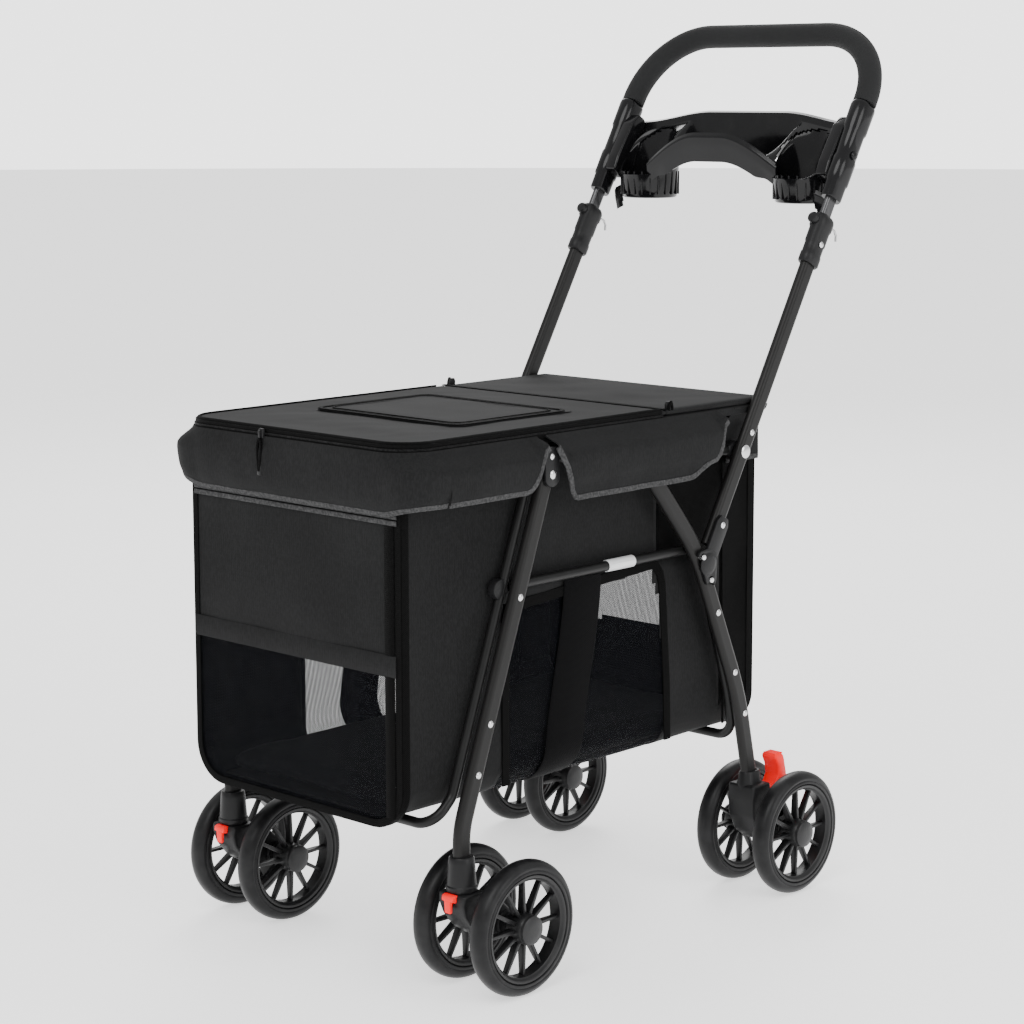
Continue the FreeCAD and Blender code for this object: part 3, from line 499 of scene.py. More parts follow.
def dome(form, x, y, z, radius, height, sign):
    """A rivet head that stands on the plane at x and looks outwards."""
    lathe(
        form,
        [
            (-0.3, 0), (-0.3, radius), (0.25 * height, radius), (0.7 * height, 0.78 * radius),
            (0.95 * height, 0.4 * radius), (height, 0),
        ],
        moved_to(x, y, z) @ turned_out(sign), 20,
    )


LEG_FACE = TRACK_HALF + 6
for name, body, places in (
    ("front_leg_rivets", "front_legs", ((-266.5, 428), (-313.7, 296), (-332.6, 243))),
    ("rear_leg_rivets", "rear_legs", ((75, 359), (108, 281), (128, 227))),
):
    form = bmesh.new()
    for side, sign in SIDES:
        for y, z in places:
            dome(form, sign * LEG_FACE, y, z, 4, 1.9, sign)
    heads = piece(f"{name}_domed", form, rivet_steel.material, body, "rivet_steel")
    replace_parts(heads, name)
form = bmesh.new()
for side, sign in SIDES:
    for y, z in ((40, 431), (55, 402)):
        lathe(
            form, [(-0.2, 0), (-0.2, 3.5), (5.6, 3.5), (6.6, 3), (7, 2), (7, 0)],
            moved_to(sign * LEG_FACE, y, z) @ turned_out(sign), 24,
        )
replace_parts(piece("knuckle_pins", form, rivet_steel.material, "rear_legs", "rivet_steel"), "hook_pins")
form = bmesh.new()
for side, sign in SIDES:
    slab(form, arc(-65, 562, 9, 0, 345, 23), sign * 182.2, sign * 182.9, 0.2)
    lathe(form, [(0, 0), (0, 4), (13.2, 4), (13.2, 0)],
          moved_to(sign * 182.2, -65, 562) @ turned_out(sign), 24)
    dome(form, sign * (LEG_FACE + 0.4), -65, 562, 7, 2.2, sign)
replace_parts(piece("rear_leg_pivots", form, rivet_steel.material, "cradle", "rivet_steel"), "rear_leg_pins")

# Leg brackets: a moulded clevis at the front of each rail. The leg hangs between its cheeks on a
# pin, and two bright rivets show on the outer cheek.
form = bmesh.new()
studs = bmesh.new()
for side, sign in SIDES:
    cheek = arc(-220, 556, 12, 200, 340, 8) + [(-208, 582), (-211, 588), (-229, 588), (-232, 582)]
    for near, far in ((170.4, 182.6), (195.4, 200.1)):
        low, high = sorted((sign * near, sign * far))
        slab(form, cheek, low, high, 1.3)
    low, high = sorted((sign * 172, sign * 199))
    slab(form, [(-231, 580.4), (-209, 580.4), (-211, 587.6), (-229, 587.6)], low, high, 1.0)
    dome(studs, sign * 200.1, -220, 558, 5, 1.8, sign)
    dome(studs, sign * 200.1, -221, 578, 3.6, 1.6, sign)
brackets = piece("leg_clevises", form, black_plastic.material, "cradle", "black_plastic")
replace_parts(brackets, "leg_brackets")
piece("leg_clevis_rivets", studs, rivet_steel.material, "cradle", "rivet_steel")

# Rail ends: a moulded eye at the rear of each rail, with the pin that the handle turns on.
form = bmesh.new()
studs = bmesh.new()
for side, sign in SIDES:
    low, high = sorted((sign * 170.6, sign * 182.1))
    slab(
        form, arc(123, 547, 12, -110, 110, 12) + [(112, 555), (108, 554), (108, 543.5), (112, 539)],
        low, high, 1.6,
    )
    lathe(studs, [(0, 0), (0, 5), (13.4, 5), (13.4, 0)],
          moved_to(sign * 182, 123, 547) @ turned_out(sign), 24)
    dome(studs, sign * (LEG_FACE + 0.4), 123, 547, 8, 2.3, sign)
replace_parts(piece("rail_eyes", form, black_plastic.material, "cradle", "black_plastic"), "rail_ends")
piece("handle_pivots", studs, rivet_steel.material, "cradle", "rivet_steel")

# Bar joints: a round moulded boss joins each side bar to its front hoop. A plain white sleeve is
# wrapped round the middle of the bar.
form = bmesh.new()
HOOP_X = 176.35
for side, sign in SIDES:
    lathe(
        form,
        [(-5.6, 0), (-5.6, 9.5), (-4.4, 11.4), (3.4, 11.4), (4.6, 10.8), (5, 9), (5, 7.6), (5.5, 7), (5.5, 0)],
        moved_to(sign * HOOP_X, -282, 437) @ turned_out(sign), 40,
    )
piece("bar_bosses", form, black_plastic.material, "cradle", "black_plastic")
white_plastic = Finish("white_plastic", 0.4)
smudge = white_plastic.speckle(50, 3)
white_plastic.bump(white_plastic.speckle(400, 2), 0.0003, 0.25)
white_plastic.done((0.66, 0.67, 0.68), (0.8, 0.8, 0.8), smudge, 0.35, 0.5, smudge)
form = bmesh.new()
for side, sign in SIDES:
    turn = moved_to(sign * HOOP_X, -106, 438) @ Matrix.Rotation(math.radians(90), 4, "Z")
    lathe(form, [(0.4, 5.8), (0, 6.2), (0.6, 6.9), (44.8, 6.9), (45.4, 6.4), (45, 5.8)], turn, 32, True)
    low, high = sorted((sign * 182.6, sign * 183.4))
    slab(form, [(-103, 435.6), (-63, 435.6), (-63, 440.6), (-103, 440.6)], low, high, 0.3)
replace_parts(piece("bar_wraps", form, white_plastic.material, "cradle", "white_plastic"), "bar_sleeves")

# Handle knuckles: a round moulded plate at the foot of each lower tube. Its two open hooks close
# round the steel pins on the rear leg, and a sleeve holds it to the tube.
LEAN = math.radians(30.1)
HANDLE = moved_to(0, 123, 547) @ Matrix.Rotation(-LEAN, 4, "X")
form = bmesh.new()
studs = bmesh.new()
for side, sign in SIDES:
    near, far = LEG_FACE + 0.5, LEG_FACE + 5.2
    low, high = sorted((sign * near, sign * far))
    slab(
        form,
        arc(50.3, 421.6, 19, 30, 92, 6) + arc(40, 431, 8.6, 118, 170, 4) + arc(40, 431, 4.6, 150, -40, 9)
        + arc(50.3, 421.6, 13.5, 208, 232, 3) + arc(55, 402, 9.2, 196, 214, 2)
        + arc(55, 402, 4.6, 160, -30, 8) + arc(55, 402, 9.6, -52, -8, 4),
        low, high, 0.9,
    )
    middle = HANDLE @ moved_to(sign * (near + far) / 2, 0, -145)
    slab(form, [(-11, -4), (-11, 52), (-7, 60), (7, 60), (11, 52), (11, -4)], -2.3, 2.3, 1.0, middle)
    lathe(form, [(1.8, 0), (3.6, 0), (3.8, 9), (2.4, 13.6), (1.8, 14)], middle @ turned_out(sign), 40)
    for reach, face in ((25, 0.1), (-95, 5.3), (277, 4.2)):
        spot = HANDLE @ Vector((0, 0, reach))
        dome(studs, sign * (LEG_FACE + face), spot.y, spot.z, 3.8, 1.7, sign)
plates = piece("hook_plates", form, black_plastic.material, "handle", "black_plastic")
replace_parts(plates, "knuckle_plates")
piece("handle_rivets", studs, rivet_steel.material, "handle", "rivet_steel")

# Height collars: moulded sleeves on top of the lower tubes, split and clamped, each with a round
# knob in front and a bent wire lever behind.
form = bmesh.new()
wires = bmesh.new()
for side, sign in SIDES:
    middle = HANDLE @ moved_to(sign * TRACK_HALF, 0, 0)
    sleeve(
        form,
        [
            (249, 0.1), (249, 2.6), (251, 4.0), (262, 4.0), (264, 3.1), (276, 3.1), (278, 4.0),
            (296, 4.0), (299, 5.4), (309, 5.4), (312, 4.4), (315, 2.0), (315, -1.4), (304.4, -1.4), (304.4, 0.1),
        ],
        22, 12, middle,
    )
    lathe(
        form, [(0, 0), (0, 6.2), (1.2, 7), (5.6, 7), (7.4, 5.8), (8, 3), (8, 0)],
        middle @ moved_to(0, -15.4, 304) @ Matrix.Rotation(math.radians(-90), 4, "Z"), 28,
    )
    wire = [(0, 14, 306), (0, 20, 309), (0, 27, 309.5), (0, 33, 306), (0, 36, 300)]
    for start, end in zip(wire, wire[1:]):
        start, end = Vector(start), Vector(end)
        turn = (end - start).to_track_quat("X", "Z").to_matrix().to_4x4()
        lathe(
            wires, [(-0.8, 0), (-0.3, 1.5), ((end - start).length + 0.3, 1.5), ((end - start).length + 0.8, 0)],
            middle @ Matrix.Translation(start) @ turn, 10,
        )
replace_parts(piece("clamp_collars", form, black_plastic.material, "handle", "black_plastic"), "height_collars")
piece("clamp_levers", wires, axle_steel.material, "handle", "axle_steel")

# Grip: a foam sleeve over the bend of the upper handle tube, with fine open cells.
grip_foam = Finish("grip_foam", 0.8, Sheen_Weight=0.04, Sheen_Roughness=0.5, Specular_IOR_Level=0.25)
cells = grip_foam.node("TexVoronoi", {}, {"Vector": grip_foam.place(), "Scale": 900}, "Distance")
wear = grip_foam.speckle(22, 4)
grip_foam.bump(cells, 0.0006, 0.5)
grip_foam.done((0.007, 0.0072, 0.0075), (0.013, 0.0133, 0.0137), wear, 0.7, 0.88, cells)
dress("foam_grip", grip_foam.material)

# Handle tray: one glossy moulding with an arched apron in front, a shallow middle, a deep round
# cup well at each end, and a stepped sleeve that grips each upright of the handle.
CUP_X, CUP_Y, CUP_FLOOR = 126, 322, 836
tray_plastic = Finish("tray_plastic", 0.18, Coat_Weight=0.08, Coat_Roughness=0.12, Specular_IOR_Level=0.22)
prints = tray_plastic.speckle(45, 5)
tray_plastic.bump(tray_plastic.speckle(180, 2), 0.0002, 0.12)
tray_plastic.done((0.003, 0.003, 0.0035), (0.006, 0.006, 0.0065), prints, 0.1, 0.26, prints.rise(0.35, 0.8))


def grid(form, columns, rows, where):
    """A sheet of faces whose corners lie where where(u, v) says, with u and v from 0 to 1."""
    before = set(form.verts)
    bmesh.ops.create_grid(form, x_segments=columns, y_segments=rows, size=1)
    for corner in fresh(form, before):
        corner.co = where(
            round((corner.co.x + 1) / 2 * columns) / columns, round((corner.co.y + 1) / 2 * rows) / rows
        )
    return fresh(form, before)


def ease(value, low=0.0, high=1.0):
    """0 below low, 1 above high, and a smooth slope between them."""
    share = min(1.0, max(0.0, (value - low) / (high - low)))
    return share * share * (3 - 2 * share)


def apron_y(x):
    return 285 + 21 * (abs(x) / 172) ** 2


def apron_z(x):
    return 917 - 68 * ease(abs(x), 20, 178) - 6 * (abs(x) / 172) ** 6


def back_y(x):
    return 372 - 8 * (abs(x) / 172) ** 2


def back_z(x):
    return 944 - 14 * ease(abs(x), 60, 172)


def in_cup(x, y):
    """How far a point is inside the nearer cup's mouth, in millimetres."""
    return 37 - math.hypot(abs(x) - CUP_X, y - CUP_Y)


def deck(u, v):
    """The tray's top: apron foot, arched lip, floor, back wall and its turned-down edge."""
    x = 342 * (u - 0.5)
    front, lip, back, top = apron_y(x), apron_z(x), back_y(x), back_z(x)
    middle = 1 - ease(abs(x), 70, 92)
    sunk = 884 + 2 * middle if middle > 0 else 884
    floor_front = lip - 4 - middle * max(0.0, lip - 6 - sunk) * 1.0
    floor_back = top - 12 - middle * (top - 14 - sunk)
    line = [
        (front + 5, lip - 26 - 8 * middle), (front + 1, lip - 12), (front, lip - 2.5), (front + 1.6, lip),
        (front + 4, lip - 0.6), (front + 6, floor_front + 2), (front + 10, floor_front),
        (front + 24, floor_front + 0.25 * (floor_back - floor_front)),
        (back - 24, floor_front + 0.8 * (floor_back - floor_front)), (back - 9, floor_back),
        (back - 5, floor_back + 3), (back - 3.4, top - 1), (back - 1, top), (back + 1.4, top - 2),
        (back + 2, top - 16), (back + 1, top - 40),
    ]
    spot = v * (len(line) - 1)
    index = min(int(spot), len(line) - 2)
    share = spot - index
    (y0, z0), (y1, z1) = line[index], line[index + 1]
    return Vector((x, y0 + (y1 - y0) * share, z0 + (z1 - z0) * share))


form = bmesh.new()
grid(form, 150, 75, deck)
inside = [
    face for face in form.faces
    if in_cup(*face.calc_center_median()[:2]) > 1.0 and face.calc_center_median().z < 950
    and abs(face.calc_center_median().x) > 60
]
bmesh.ops.delete(form, geom=inside, context="FACES")
bmesh.ops.recalc_face_normals(form, faces=form.faces)
bmesh.ops.solidify(form, geom=form.faces, thickness=-2.2)
for side, sign in SIDES:
    def lip_height(y):
        """The slanting plane of a cup's mouth."""
        share = ease(y, 285, 366)
        return apron_z(CUP_X) - 1 + share * (back_z(CUP_X) - 8 - apron_z(CUP_X))

    profile = [
        (0, 0), (0, 31), (2, 33.4), (8, 34.6), (40, 35.6), (78, 36.6), (84, 37.2), (85.4, 38.6), (84, 40.2),
        (76, 39.4), (40, 38.2), (8, 37), (-1, 35.4), (-2.6, 33), (-2.6, 0),
    ]
    cup = lathe(form, profile, moved_to(sign * CUP_X, CUP_Y, CUP_FLOOR) @ UPRIGHT, 56)
    for corner in cup:
        height = corner.co.z - CUP_FLOOR
        if height > 10:
            corner.co.z = CUP_FLOOR + 10 + (height - 10) * (lip_height(corner.co.y) - CUP_FLOOR - 10) / 75.4
    for turn in range(22):
        rib = slab(form, [(-0.9, 838), (0.9, 838), (0.9, 868), (-0.9, 868)], 35.4, 38.9, 0.4)
        bmesh.ops.transform(
            form, verts=rib,
            matrix=moved_to(sign * CUP_X, CUP_Y, 0) @ Matrix.Rotation(math.tau * turn / 22, 4, "Z"),
        )
    middle = HANDLE @ moved_to(sign * TRACK_HALF, 0, 0)
    sleeve(
        form,
        [
            (339, -1.6), (339, 2.8), (341, 4.0), (360, 4.2), (362, 5.6), (392, 6.0), (396, 4.8), (430, 4.8),
            (434, 6.4), (466, 6.8), (470, 6.0), (472, 4), (472, -1.6),
        ],
        22, 12, middle, 10,
    )
    low, high = sorted((-8 * sign, -26 * sign))
    slab(
        form, [(-15, 366), (-17, 384), (-14, 436), (-6, 452), (8, 452), (12, 440), (12, 380), (6, 362)],
        low, high, 3.0, middle, 3,
    )
    lathe(
        form, [(10, 0), (11.6, 5.6), (13.6, 5.6), (14.6, 4.4), (15, 0)],
        middle @ moved_to(0, 0, 400) @ turned_out(sign), 24,
    )
tray = piece("parent_tray", form, tray_plastic.material, "upper_handle", "tray_plastic", 50)
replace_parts(tray, "handle_tray")

# Belly strap: wide black webbing that passes under the carrier and ends just below each side bar.
CARRIER_FRONT, CARRIER_REAR, CARRIER_HALF, RIM_LOW, FLOOR_Z = -419.3, 173.0, 167.6, 590.0, 200.0
BELLY_RADIUS = 44


def webbed(name, dark, light, pitch, rough, rib=0.5):
    """Woven tape: fine ribs across it, a paler fleck, and a soft sheen."""
    finish = Finish(name, rough, Sheen_Weight=0.01, Sheen_Roughness=0.4, Specular_IOR_Level=0.05)
    x, y, z = finish.axes()
    waves = math.tau / pitch
    weave = (y * waves).sine() * (z * waves).sine() + (x * waves).sine() * ((y + z) * waves).sine()
    fleck = finish.speckle(380, 3)
    finish.bump(weave, 0.0003, rib)
    finish.done(dark, light, fleck.rise(0.3, 0.75), rough - 0.08, rough + 0.08, fleck)
    return finish.material


def ribbon(form, path, facings, width, thick, closed=False):
    """A flat tape along a path of points, each with the direction that its face looks in."""
    section = [(-0.5, 0.0), (-0.46, 0.8), (0, 1.0), (0.46, 0.8), (0.5, 0.0), (0.46, -0.1), (-0.46, -0.1)]
    count = len(path)
    last = count if closed else count - 1

    def where(u, v):
        index = round(u * last) % count
        before = path[(index - 1) % count] if closed or index else path[0]
        after = path[(index + 1) % count] if closed or index < count - 1 else path[-1]
        facing = facings[index].normalized()
        side = (after - before).cross(facing).normalized()
        across, out = section[round(v * len(section)) % len(section)]
        return path[index] + side * across * width + facing * out * thick

    made = grid(form, last, len(section), where)
    bmesh.ops.remove_doubles(form, verts=[item for item in made if item.is_valid], dist=0.001)
    if not closed:
        edges = [edge for edge in form.edges if edge.is_boundary]
        bmesh.ops.holes_fill(form, edges=edges, sides=0)


webbing = webbed("webbing", (0.001, 0.001, 0.0012), (0.003, 0.003, 0.0033), 0.0026, 0.72)


def belly(count, half=CARRIER_HALF, low=FLOOR_Z, top=RIM_LOW, radius=BELLY_RADIUS):
    """Points and outward directions from the top of the left side, under the floor, to the right."""
    run = [(Vector((-half, 0, top + (low + radius - top) * i / count)), Vector((-1, 0, 0))) for i in range(count)]
    for i in range(9):
        turn = math.radians(180 + 90 * i / 8)
        out = Vector((math.cos(turn), 0, math.sin(turn)))
        run.append((Vector((radius - half, 0, low + radius)) + out * radius, out))
    flat = 2 * (half - radius)
    across = [(Vector((radius - half + flat * i / count, 0, low)), Vector((0, 0, -1))) for i in range(1, count)]
    other = [(Vector((-spot.x, 0, spot.z)), Vector((-out.x, 0, out.z))) for spot, out in reversed(run)]
    return run + across + other


form = bmesh.new()
route = belly(24, 169.4, 198.6, 430, BELLY_RADIUS + 1.5)
path = []
for spot, out in route:
    shift = ease(spot.z, 198, 440)
    path.append(Vector((spot.x, -171 + 34 * shift + 0.6 * noise.noise(spot * 0.02), spot.z)))
ribbon(form, path, [out for spot, out in route], 62, 1.3)
strap = piece("belly_webbing", form, webbing, "cradle", "webbing", 60)
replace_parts(strap, "belly_strap")

# Carrier: one sewn shell of heathered grey polyester with rounded lower corners, fine black net
# windows low on the front and sides, and black tape bound round every edge. A black patch high at
# the rear of each side is painted shadow from the rear leg and handle.


def heather(name, dark, light, pitch=0.0034):
    """Heathered oxford cloth: a fine two-way weave, mixed yarns, broad shading and a dull sheen."""
    finish = Finish(name, 0.8, Sheen_Weight=0.02, Sheen_Roughness=0.5, Specular_IOR_Level=0.12)
    x, y, z = finish.axes()
    waves = math.tau / pitch
    sx, sy, sz = (x * waves).sine(), (y * waves).sine(), (z * waves).sine()
    weave = sx * sz + sy * sz + sx * sy
    yarn = finish.speckle(520, 3, (1, 1, 0.35))
    cloud = finish.speckle(9, 4)
    finish.bump(weave, 0.0002, 0.12)
    finish.done(dark, light, yarn.rise(0.3, 0.72) * 0.6 + cloud.rise(0.25, 0.8) * 0.4, 0.72, 0.9, yarn)
    return finish.material


panel_cloth = heather("panel_cloth", (0.0045, 0.0046, 0.0047), (0.0125, 0.0127, 0.013))
top_cloth = heather("top_cloth", (0.005, 0.0051, 0.0053), (0.0135, 0.0137, 0.014))
# Black binding tape. The same black also paints the shadow on the upper rear of the carrier's sides.
dark_tape_and_painted_shadow = webbed("binding_tape_and_painted_shadow", (0.001, 0.001, 0.001), (0.0028, 0.0028, 0.0028), 0.0022, 0.7)
grey_tape = webbed("piping_tape", (0.03, 0.03, 0.0305), (0.07, 0.07, 0.071), 0.0016, 0.65)
net_finish = Finish("window_net", 0.6, Specular_IOR_Level=0.03)
NET_PITCH = 0.0023
net_x, net_y, net_z = net_finish.axes()
net_waves = math.tau / NET_PITCH
diagonal = ((net_x + net_y + net_z) * (net_waves / 2)).sine().absolute()
counter = ((net_x + net_y - net_z) * (net_waves / 2)).sine().absolute()
threads = 1 - diagonal.rise(0.25, 0.6) * counter.rise(0.25, 0.6)
net_shade = net_finish.speckle(70, 3)
net_finish.feed("Alpha", threads * 0.5 + 0.42)
net_finish.bump(threads, 0.0002, 0.5)
net_finish.done((0.002, 0.0022, 0.003), (0.004, 0.0045, 0.006), net_shade, 0.5, 0.7, net_shade)
window_net = net_finish.material


def floor_line(y):
    """How low the shell hangs at y: it rests on both hoops and the strap, and sags in front."""
    sag = 1.4 * math.sin(math.pi * ease(y, -380, 120)) + 1.0 * math.sin(math.pi * ease(y, -140, 122))
    return FLOOR_Z - 0.2 - sag - 6.5 * ease(-y, 393, 414)


def ripple(spot, size, depth):
    """A gentle unevenness of cloth, always the same at the same place."""
    return depth * noise.noise(Vector(spot) * (1 / size))


def shell(u, v):
    y = CARRIER_FRONT + (CARRIER_REAR - CARRIER_FRONT) * u
    line = belly(26, CARRIER_HALF, floor_line(y), RIM_LOW)
    spot, out = line[round(v * (len(line) - 1))]
    point = Vector((spot.x, y, spot.z))
    taut = ease(y, CARRIER_FRONT, CARRIER_FRONT + 40) * (1 - ease(y, CARRIER_REAR - 30, CARRIER_REAR))
    inward = (1.3 + ripple(point, 70, 2.2) + ripple(point, 24, 0.7)) * taut * ease(point.z, 204, 250)
    return point - out * max(0.0, inward)


def front_edge(x):
    """The lower edge of the front panel, with its rounded corners."""
    out = max(0.0, abs(x) - (CARRIER_HALF - BELLY_RADIUS))
    rise = BELLY_RADIUS - math.sqrt(max(0.0, BELLY_RADIUS ** 2 - out ** 2))
    return floor_line(CARRIER_FRONT) + rise - 1.0 * (1 - (abs(x) / CARRIER_HALF) ** 2)


def end_panel(y, belly_out):
    def where(u, v):
        x = CARRIER_HALF * math.sin(math.pi * (u - 0.5)) * 0.999
        low = front_edge(x) if y < 0 else front_edge(x) + 6.5
        z = low + (RIM_LOW - low) * v
        edge = (1 - (abs(x) / CARRIER_HALF) ** 4) * math.sin(math.pi * min(1, v * 1.1))
        return Vector((x, y + belly_out * edge + ripple((x, y, z), 60, 1.2) * edge, z))
    return where


SIDE_WINDOW = (-262, 13)
FRONT_WINDOW_TOP = 368


def kind_of(face):
    x, y, z = face.calc_center_median()
    if y < CARRIER_FRONT + 8 and abs(face.normal.y) > 0.7:
        return "net" if z < FRONT_WINDOW_TOP else "cloth"
    if abs(face.normal.y) > 0.7:
        return "net" if 300 < z < 470 and abs(x) < 120 else "cloth"
    top = 411 + 16 * (y - SIDE_WINDOW[0]) / (SIDE_WINDOW[1] - SIDE_WINDOW[0])
    rear = SIDE_WINDOW[1] - 18 * ease(z, 250, 420) - max(0, z - 395) * 0.3
    if SIDE_WINDOW[0] < y < rear and z < top and abs(x) > CARRIER_HALF - BELLY_RADIUS * 0.75:
        return "net"
    # The upper rear of each side, behind the rear leg and handle foot, is painted shadow: these faces get the black
    # tape finish.
    return "dark" if abs(x) > 150 and (y > 113 and z > 235 or y > -5 and z > 432) else "cloth"


shell_parts = {}
for kind, name, finish, slot, flat, area in (
    ("cloth", "carrier_cloth", panel_cloth, "panel_cloth", (1.11, 0.93), 0.594),
    ("net", "carrier_net", window_net, "panel_cloth", (0.6, 0.55), 0.2266),
    # The "dark" part is painted shadow on the upper rear of each side.
    ("dark", "carrier_painted_shadow", dark_tape_and_painted_shadow, "panel_cloth", (0.36, 0.36), 0.0814),
):
    form = bmesh.new()
    grid(form, 96, 86, shell)
    grid(form, 60, 60, end_panel(CARRIER_FRONT, -1.5))
    grid(form, 60, 60, end_panel(CARRIER_REAR - 0.5, 1.5))
    bmesh.ops.recalc_face_normals(form, faces=form.faces)
    form.normal_update()
    bmesh.ops.delete(form, geom=[face for face in form.faces if kind_of(face) != kind], context="FACES")
    part = piece(name, form, finish, "carrier", slot, sharp=False)
    if kind != "net":
        thickness = part.modifiers.new("cloth", "SOLIDIFY")
        thickness.thickness = 0.0012
        thickness.offset = 0
    shell_parts[kind] = part
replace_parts(shell_parts["cloth"], "side_panel_left", "side_panel_right", "front_panel", "rear_panel")

# Bindings: black tape over each seam of the carrier and round the side nets, a cloth hem on top of
# the front net, and a double ridge high on the front panel.
tapes = bmesh.new()
for y, facing, width in (
    (CARRIER_FRONT - 0.9, -1, 9), (CARRIER_REAR + 0.6, 1, 9),
):
    low = front_edge(0) + (0 if y < 0 else 6.5)
    line = belly(30, CARRIER_HALF + 0.2, low, RIM_LOW)
    path = [Vector((spot.x, y, spot.z)) - out * 3.2 for spot, out in line]
    ribbon(tapes, path, [Vector((0, facing, 0))] * len(path), width, 1.4)
    path = [Vector((spot.x, y - facing * 6, spot.z)) for spot, out in line]
    ribbon(tapes, path, [out for spot, out in line], 11, 1.2)
path = [Vector((152, CARRIER_FRONT - 2.0, z)) for z in range(206, 534, 12)]
ribbon(tapes, path, [Vector((0, -1, 0))] * len(path), 15, 1.0)
for side, sign in SIDES:
    front, rear = SIDE_WINDOW
    outward = Vector((sign, 0, 0))
    x = sign * (CARRIER_HALF + 0.2)
    edge = [(front, 212), (front, 300), (front, 400), (front + 2, 408), (front + 10, 412)]
    edge += [(front + 10 + (rear - front - 40) * i / 10, 412 + 14.4 * i / 10) for i in range(1, 11)]
    edge += [(rear - 22, 424), (rear - 14, 414), (rear - 10, 400), (rear - 6, 350), (rear - 1, 280), (rear + 1, 212)]
    path = [Vector((x, y, z)) for y, z in edge]
    ribbon(tapes, path, [outward] * len(path), 12, 1.2)
    path = [Vector((x, 114 + 4 * (1 - ease(z, 230, 580)), z)) for z in range(212, 590, 14)]
    ribbon(tapes, path, [outward] * len(path), 3.5, 1.0)
piece("carrier_bindings", tapes, dark_tape_and_painted_shadow, "carrier", "webbing", 60)
hem = bmesh.new()
path = [Vector((x, CARRIER_FRONT - 2.4, FRONT_WINDOW_TOP + 3)) for x in range(-166, 167, 8)]
ribbon(hem, path, [Vector((0, -1, 0))] * len(path), 24, 0.9)
piece("front_window_hem", hem, panel_cloth, "carrier", "panel_cloth", 60)
ridges = bmesh.new()
for z, width in ((531.5, 5.5), (524.5, 5.5)):
    path = [Vector((x, CARRIER_FRONT - 2.0, z)) for x in range(-164, 165, 8)]
    ribbon(ridges, path, [Vector((0, -1, 0))] * len(path), width, 1.6)
piece("front_ridge", ridges, grey_tape, "carrier", "panel_cloth", 60)

# Skirt: a padded band round the carrier's rim that bulges over the frame. It is cut in a notch
# at each leg bracket, and its hem is piped in paler tape.
RIM_HALF, RIM_FRONT, RIM_REAR, SKIRT_TOP, FLAP_X = 182.0, -425.3, 179.0, 599.0, 201.4
CORNER, FLAP_START, NOTCH = 42, -383.3, (-229, -215)
front_line = [(-RIM_HALF, FLAP_START, -1, 0)]
for i in range(1, 16):
    turn = math.radians(180 + 90 * i / 15)
    front_line.append((
        -RIM_HALF + CORNER + CORNER * math.cos(turn), RIM_FRONT + CORNER + CORNER * math.sin(turn),
        math.cos(turn), math.sin(turn),
    ))
for i in range(1, 40):
    front_line.append((-RIM_HALF + CORNER + (2 * RIM_HALF - 2 * CORNER) * i / 40, RIM_FRONT, 0, -1))
front_line += [(-x, y, -nx, ny) for x, y, nx, ny in reversed(front_line[:16])]


def puff(v):
    """The skirt's bulge from its top seam to its hem, in millimetres."""
    return 5.2 * math.sin(math.pi * min(1.0, v * 0.93 + 0.03)) ** 0.8 - 1.2 * math.exp(-((v - 0.88) / 0.03) ** 2)


def front_skirt(u, v):
    x, y, nx, ny = front_line[round(u * (len(front_line) - 1))]
    flare = (FLAP_X - RIM_HALF) * ease(abs(nx), 0.15, 1.0) * ease(v, 0, 0.4)
    hem = 534 + 10 * ease(abs(nx), 0.2, 1.0)
    z = SKIRT_TOP + (hem - SKIRT_TOP) * v
    out = flare + puff(v) * 0.9 + (ripple((x, y, z), 55, 2.6) + ripple((x, y, z), 19, 0.8)) * ease(v, 0, 0.3)
    tuck = 3.0 * (1 - ease(v, 0.85, 1.0))
    return Vector((x + nx * (out + tuck - 2), y + ny * (out + tuck - 2), z))


def flap_hem(y):
    if y < NOTCH[0]:
        return 544 + 44 * ease(y, -268, NOTCH[0]) ** 1.4
    if y < -120:
        return 588 - 59 * ease(y, NOTCH[1], -186) ** 0.8
    return 529 + 16 * ease(y, 8, 52) + 43 * ease(y, 50, 81) ** 1.3


def flap(sign, start, end):
    def where(u, v):
        y = start + (end - start) * u
        hem = flap_hem(y)
        z = SKIRT_TOP + (hem - SKIRT_TOP) * v
        drop = (SKIRT_TOP - z) / 62
        flare = (FLAP_X - RIM_HALF) * ease(drop, 0, 0.4 * min(1.0, (SKIRT_TOP - hem) / 30))
        bulge = puff(min(1.0, drop)) * ease(SKIRT_TOP - hem, 10, 40)
        waves = ripple((sign * 190, y, z), 60, 2.6) + ripple((sign * 190, y, z), 21, 0.8)
        out = flare + bulge * 0.9 + waves * ease(drop, 0, 0.3)
        return Vector((sign * (RIM_HALF + 1 + out), y, z))
    return where


def hemmed(name, where, columns, squashed, slot="top_cloth"):
    """A cloth flap with a real thickness, and the piping along its hem."""
    form = bmesh.new()
    grid(form, columns, 14, where)
    bmesh.ops.recalc_face_normals(form, faces=form.faces)
    bmesh.ops.solidify(form, geom=form.faces, thickness=1.4)
    cloth = piece(name, form, top_cloth, "carrier", slot, 60)
    form = bmesh.new()
    points = [where(i / columns, 1.0) for i in range(columns + 1)]
    inner = [where(i / columns, 0.9) for i in range(columns + 1)]
    middle = [(a * 0.985 + b * 0.015) for a, b in zip(points, inner)]
    facings = []
    for i, point in enumerate(points):
        along = points[min(i + 1, columns)] - points[max(i - 1, 0)]
        across = (inner[i] - point)
        facing = along.cross(across)
        outward = Vector((point.x, point.y if abs(point.x) < 170 else 0, 0))
        facings.append(facing if facing.dot(outward) > 0 else -facing)
    ribbon(form, [m + f.normalized() * 0.4 for m, f in zip(middle, facings)], facings, 6.6, 2.0)
    trim = piece(f"{name}_piping", form, grey_tape, "carrier", slot, 60)
    if squashed:
        for item in (cloth, trim):
            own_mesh(item)
    return cloth, trim


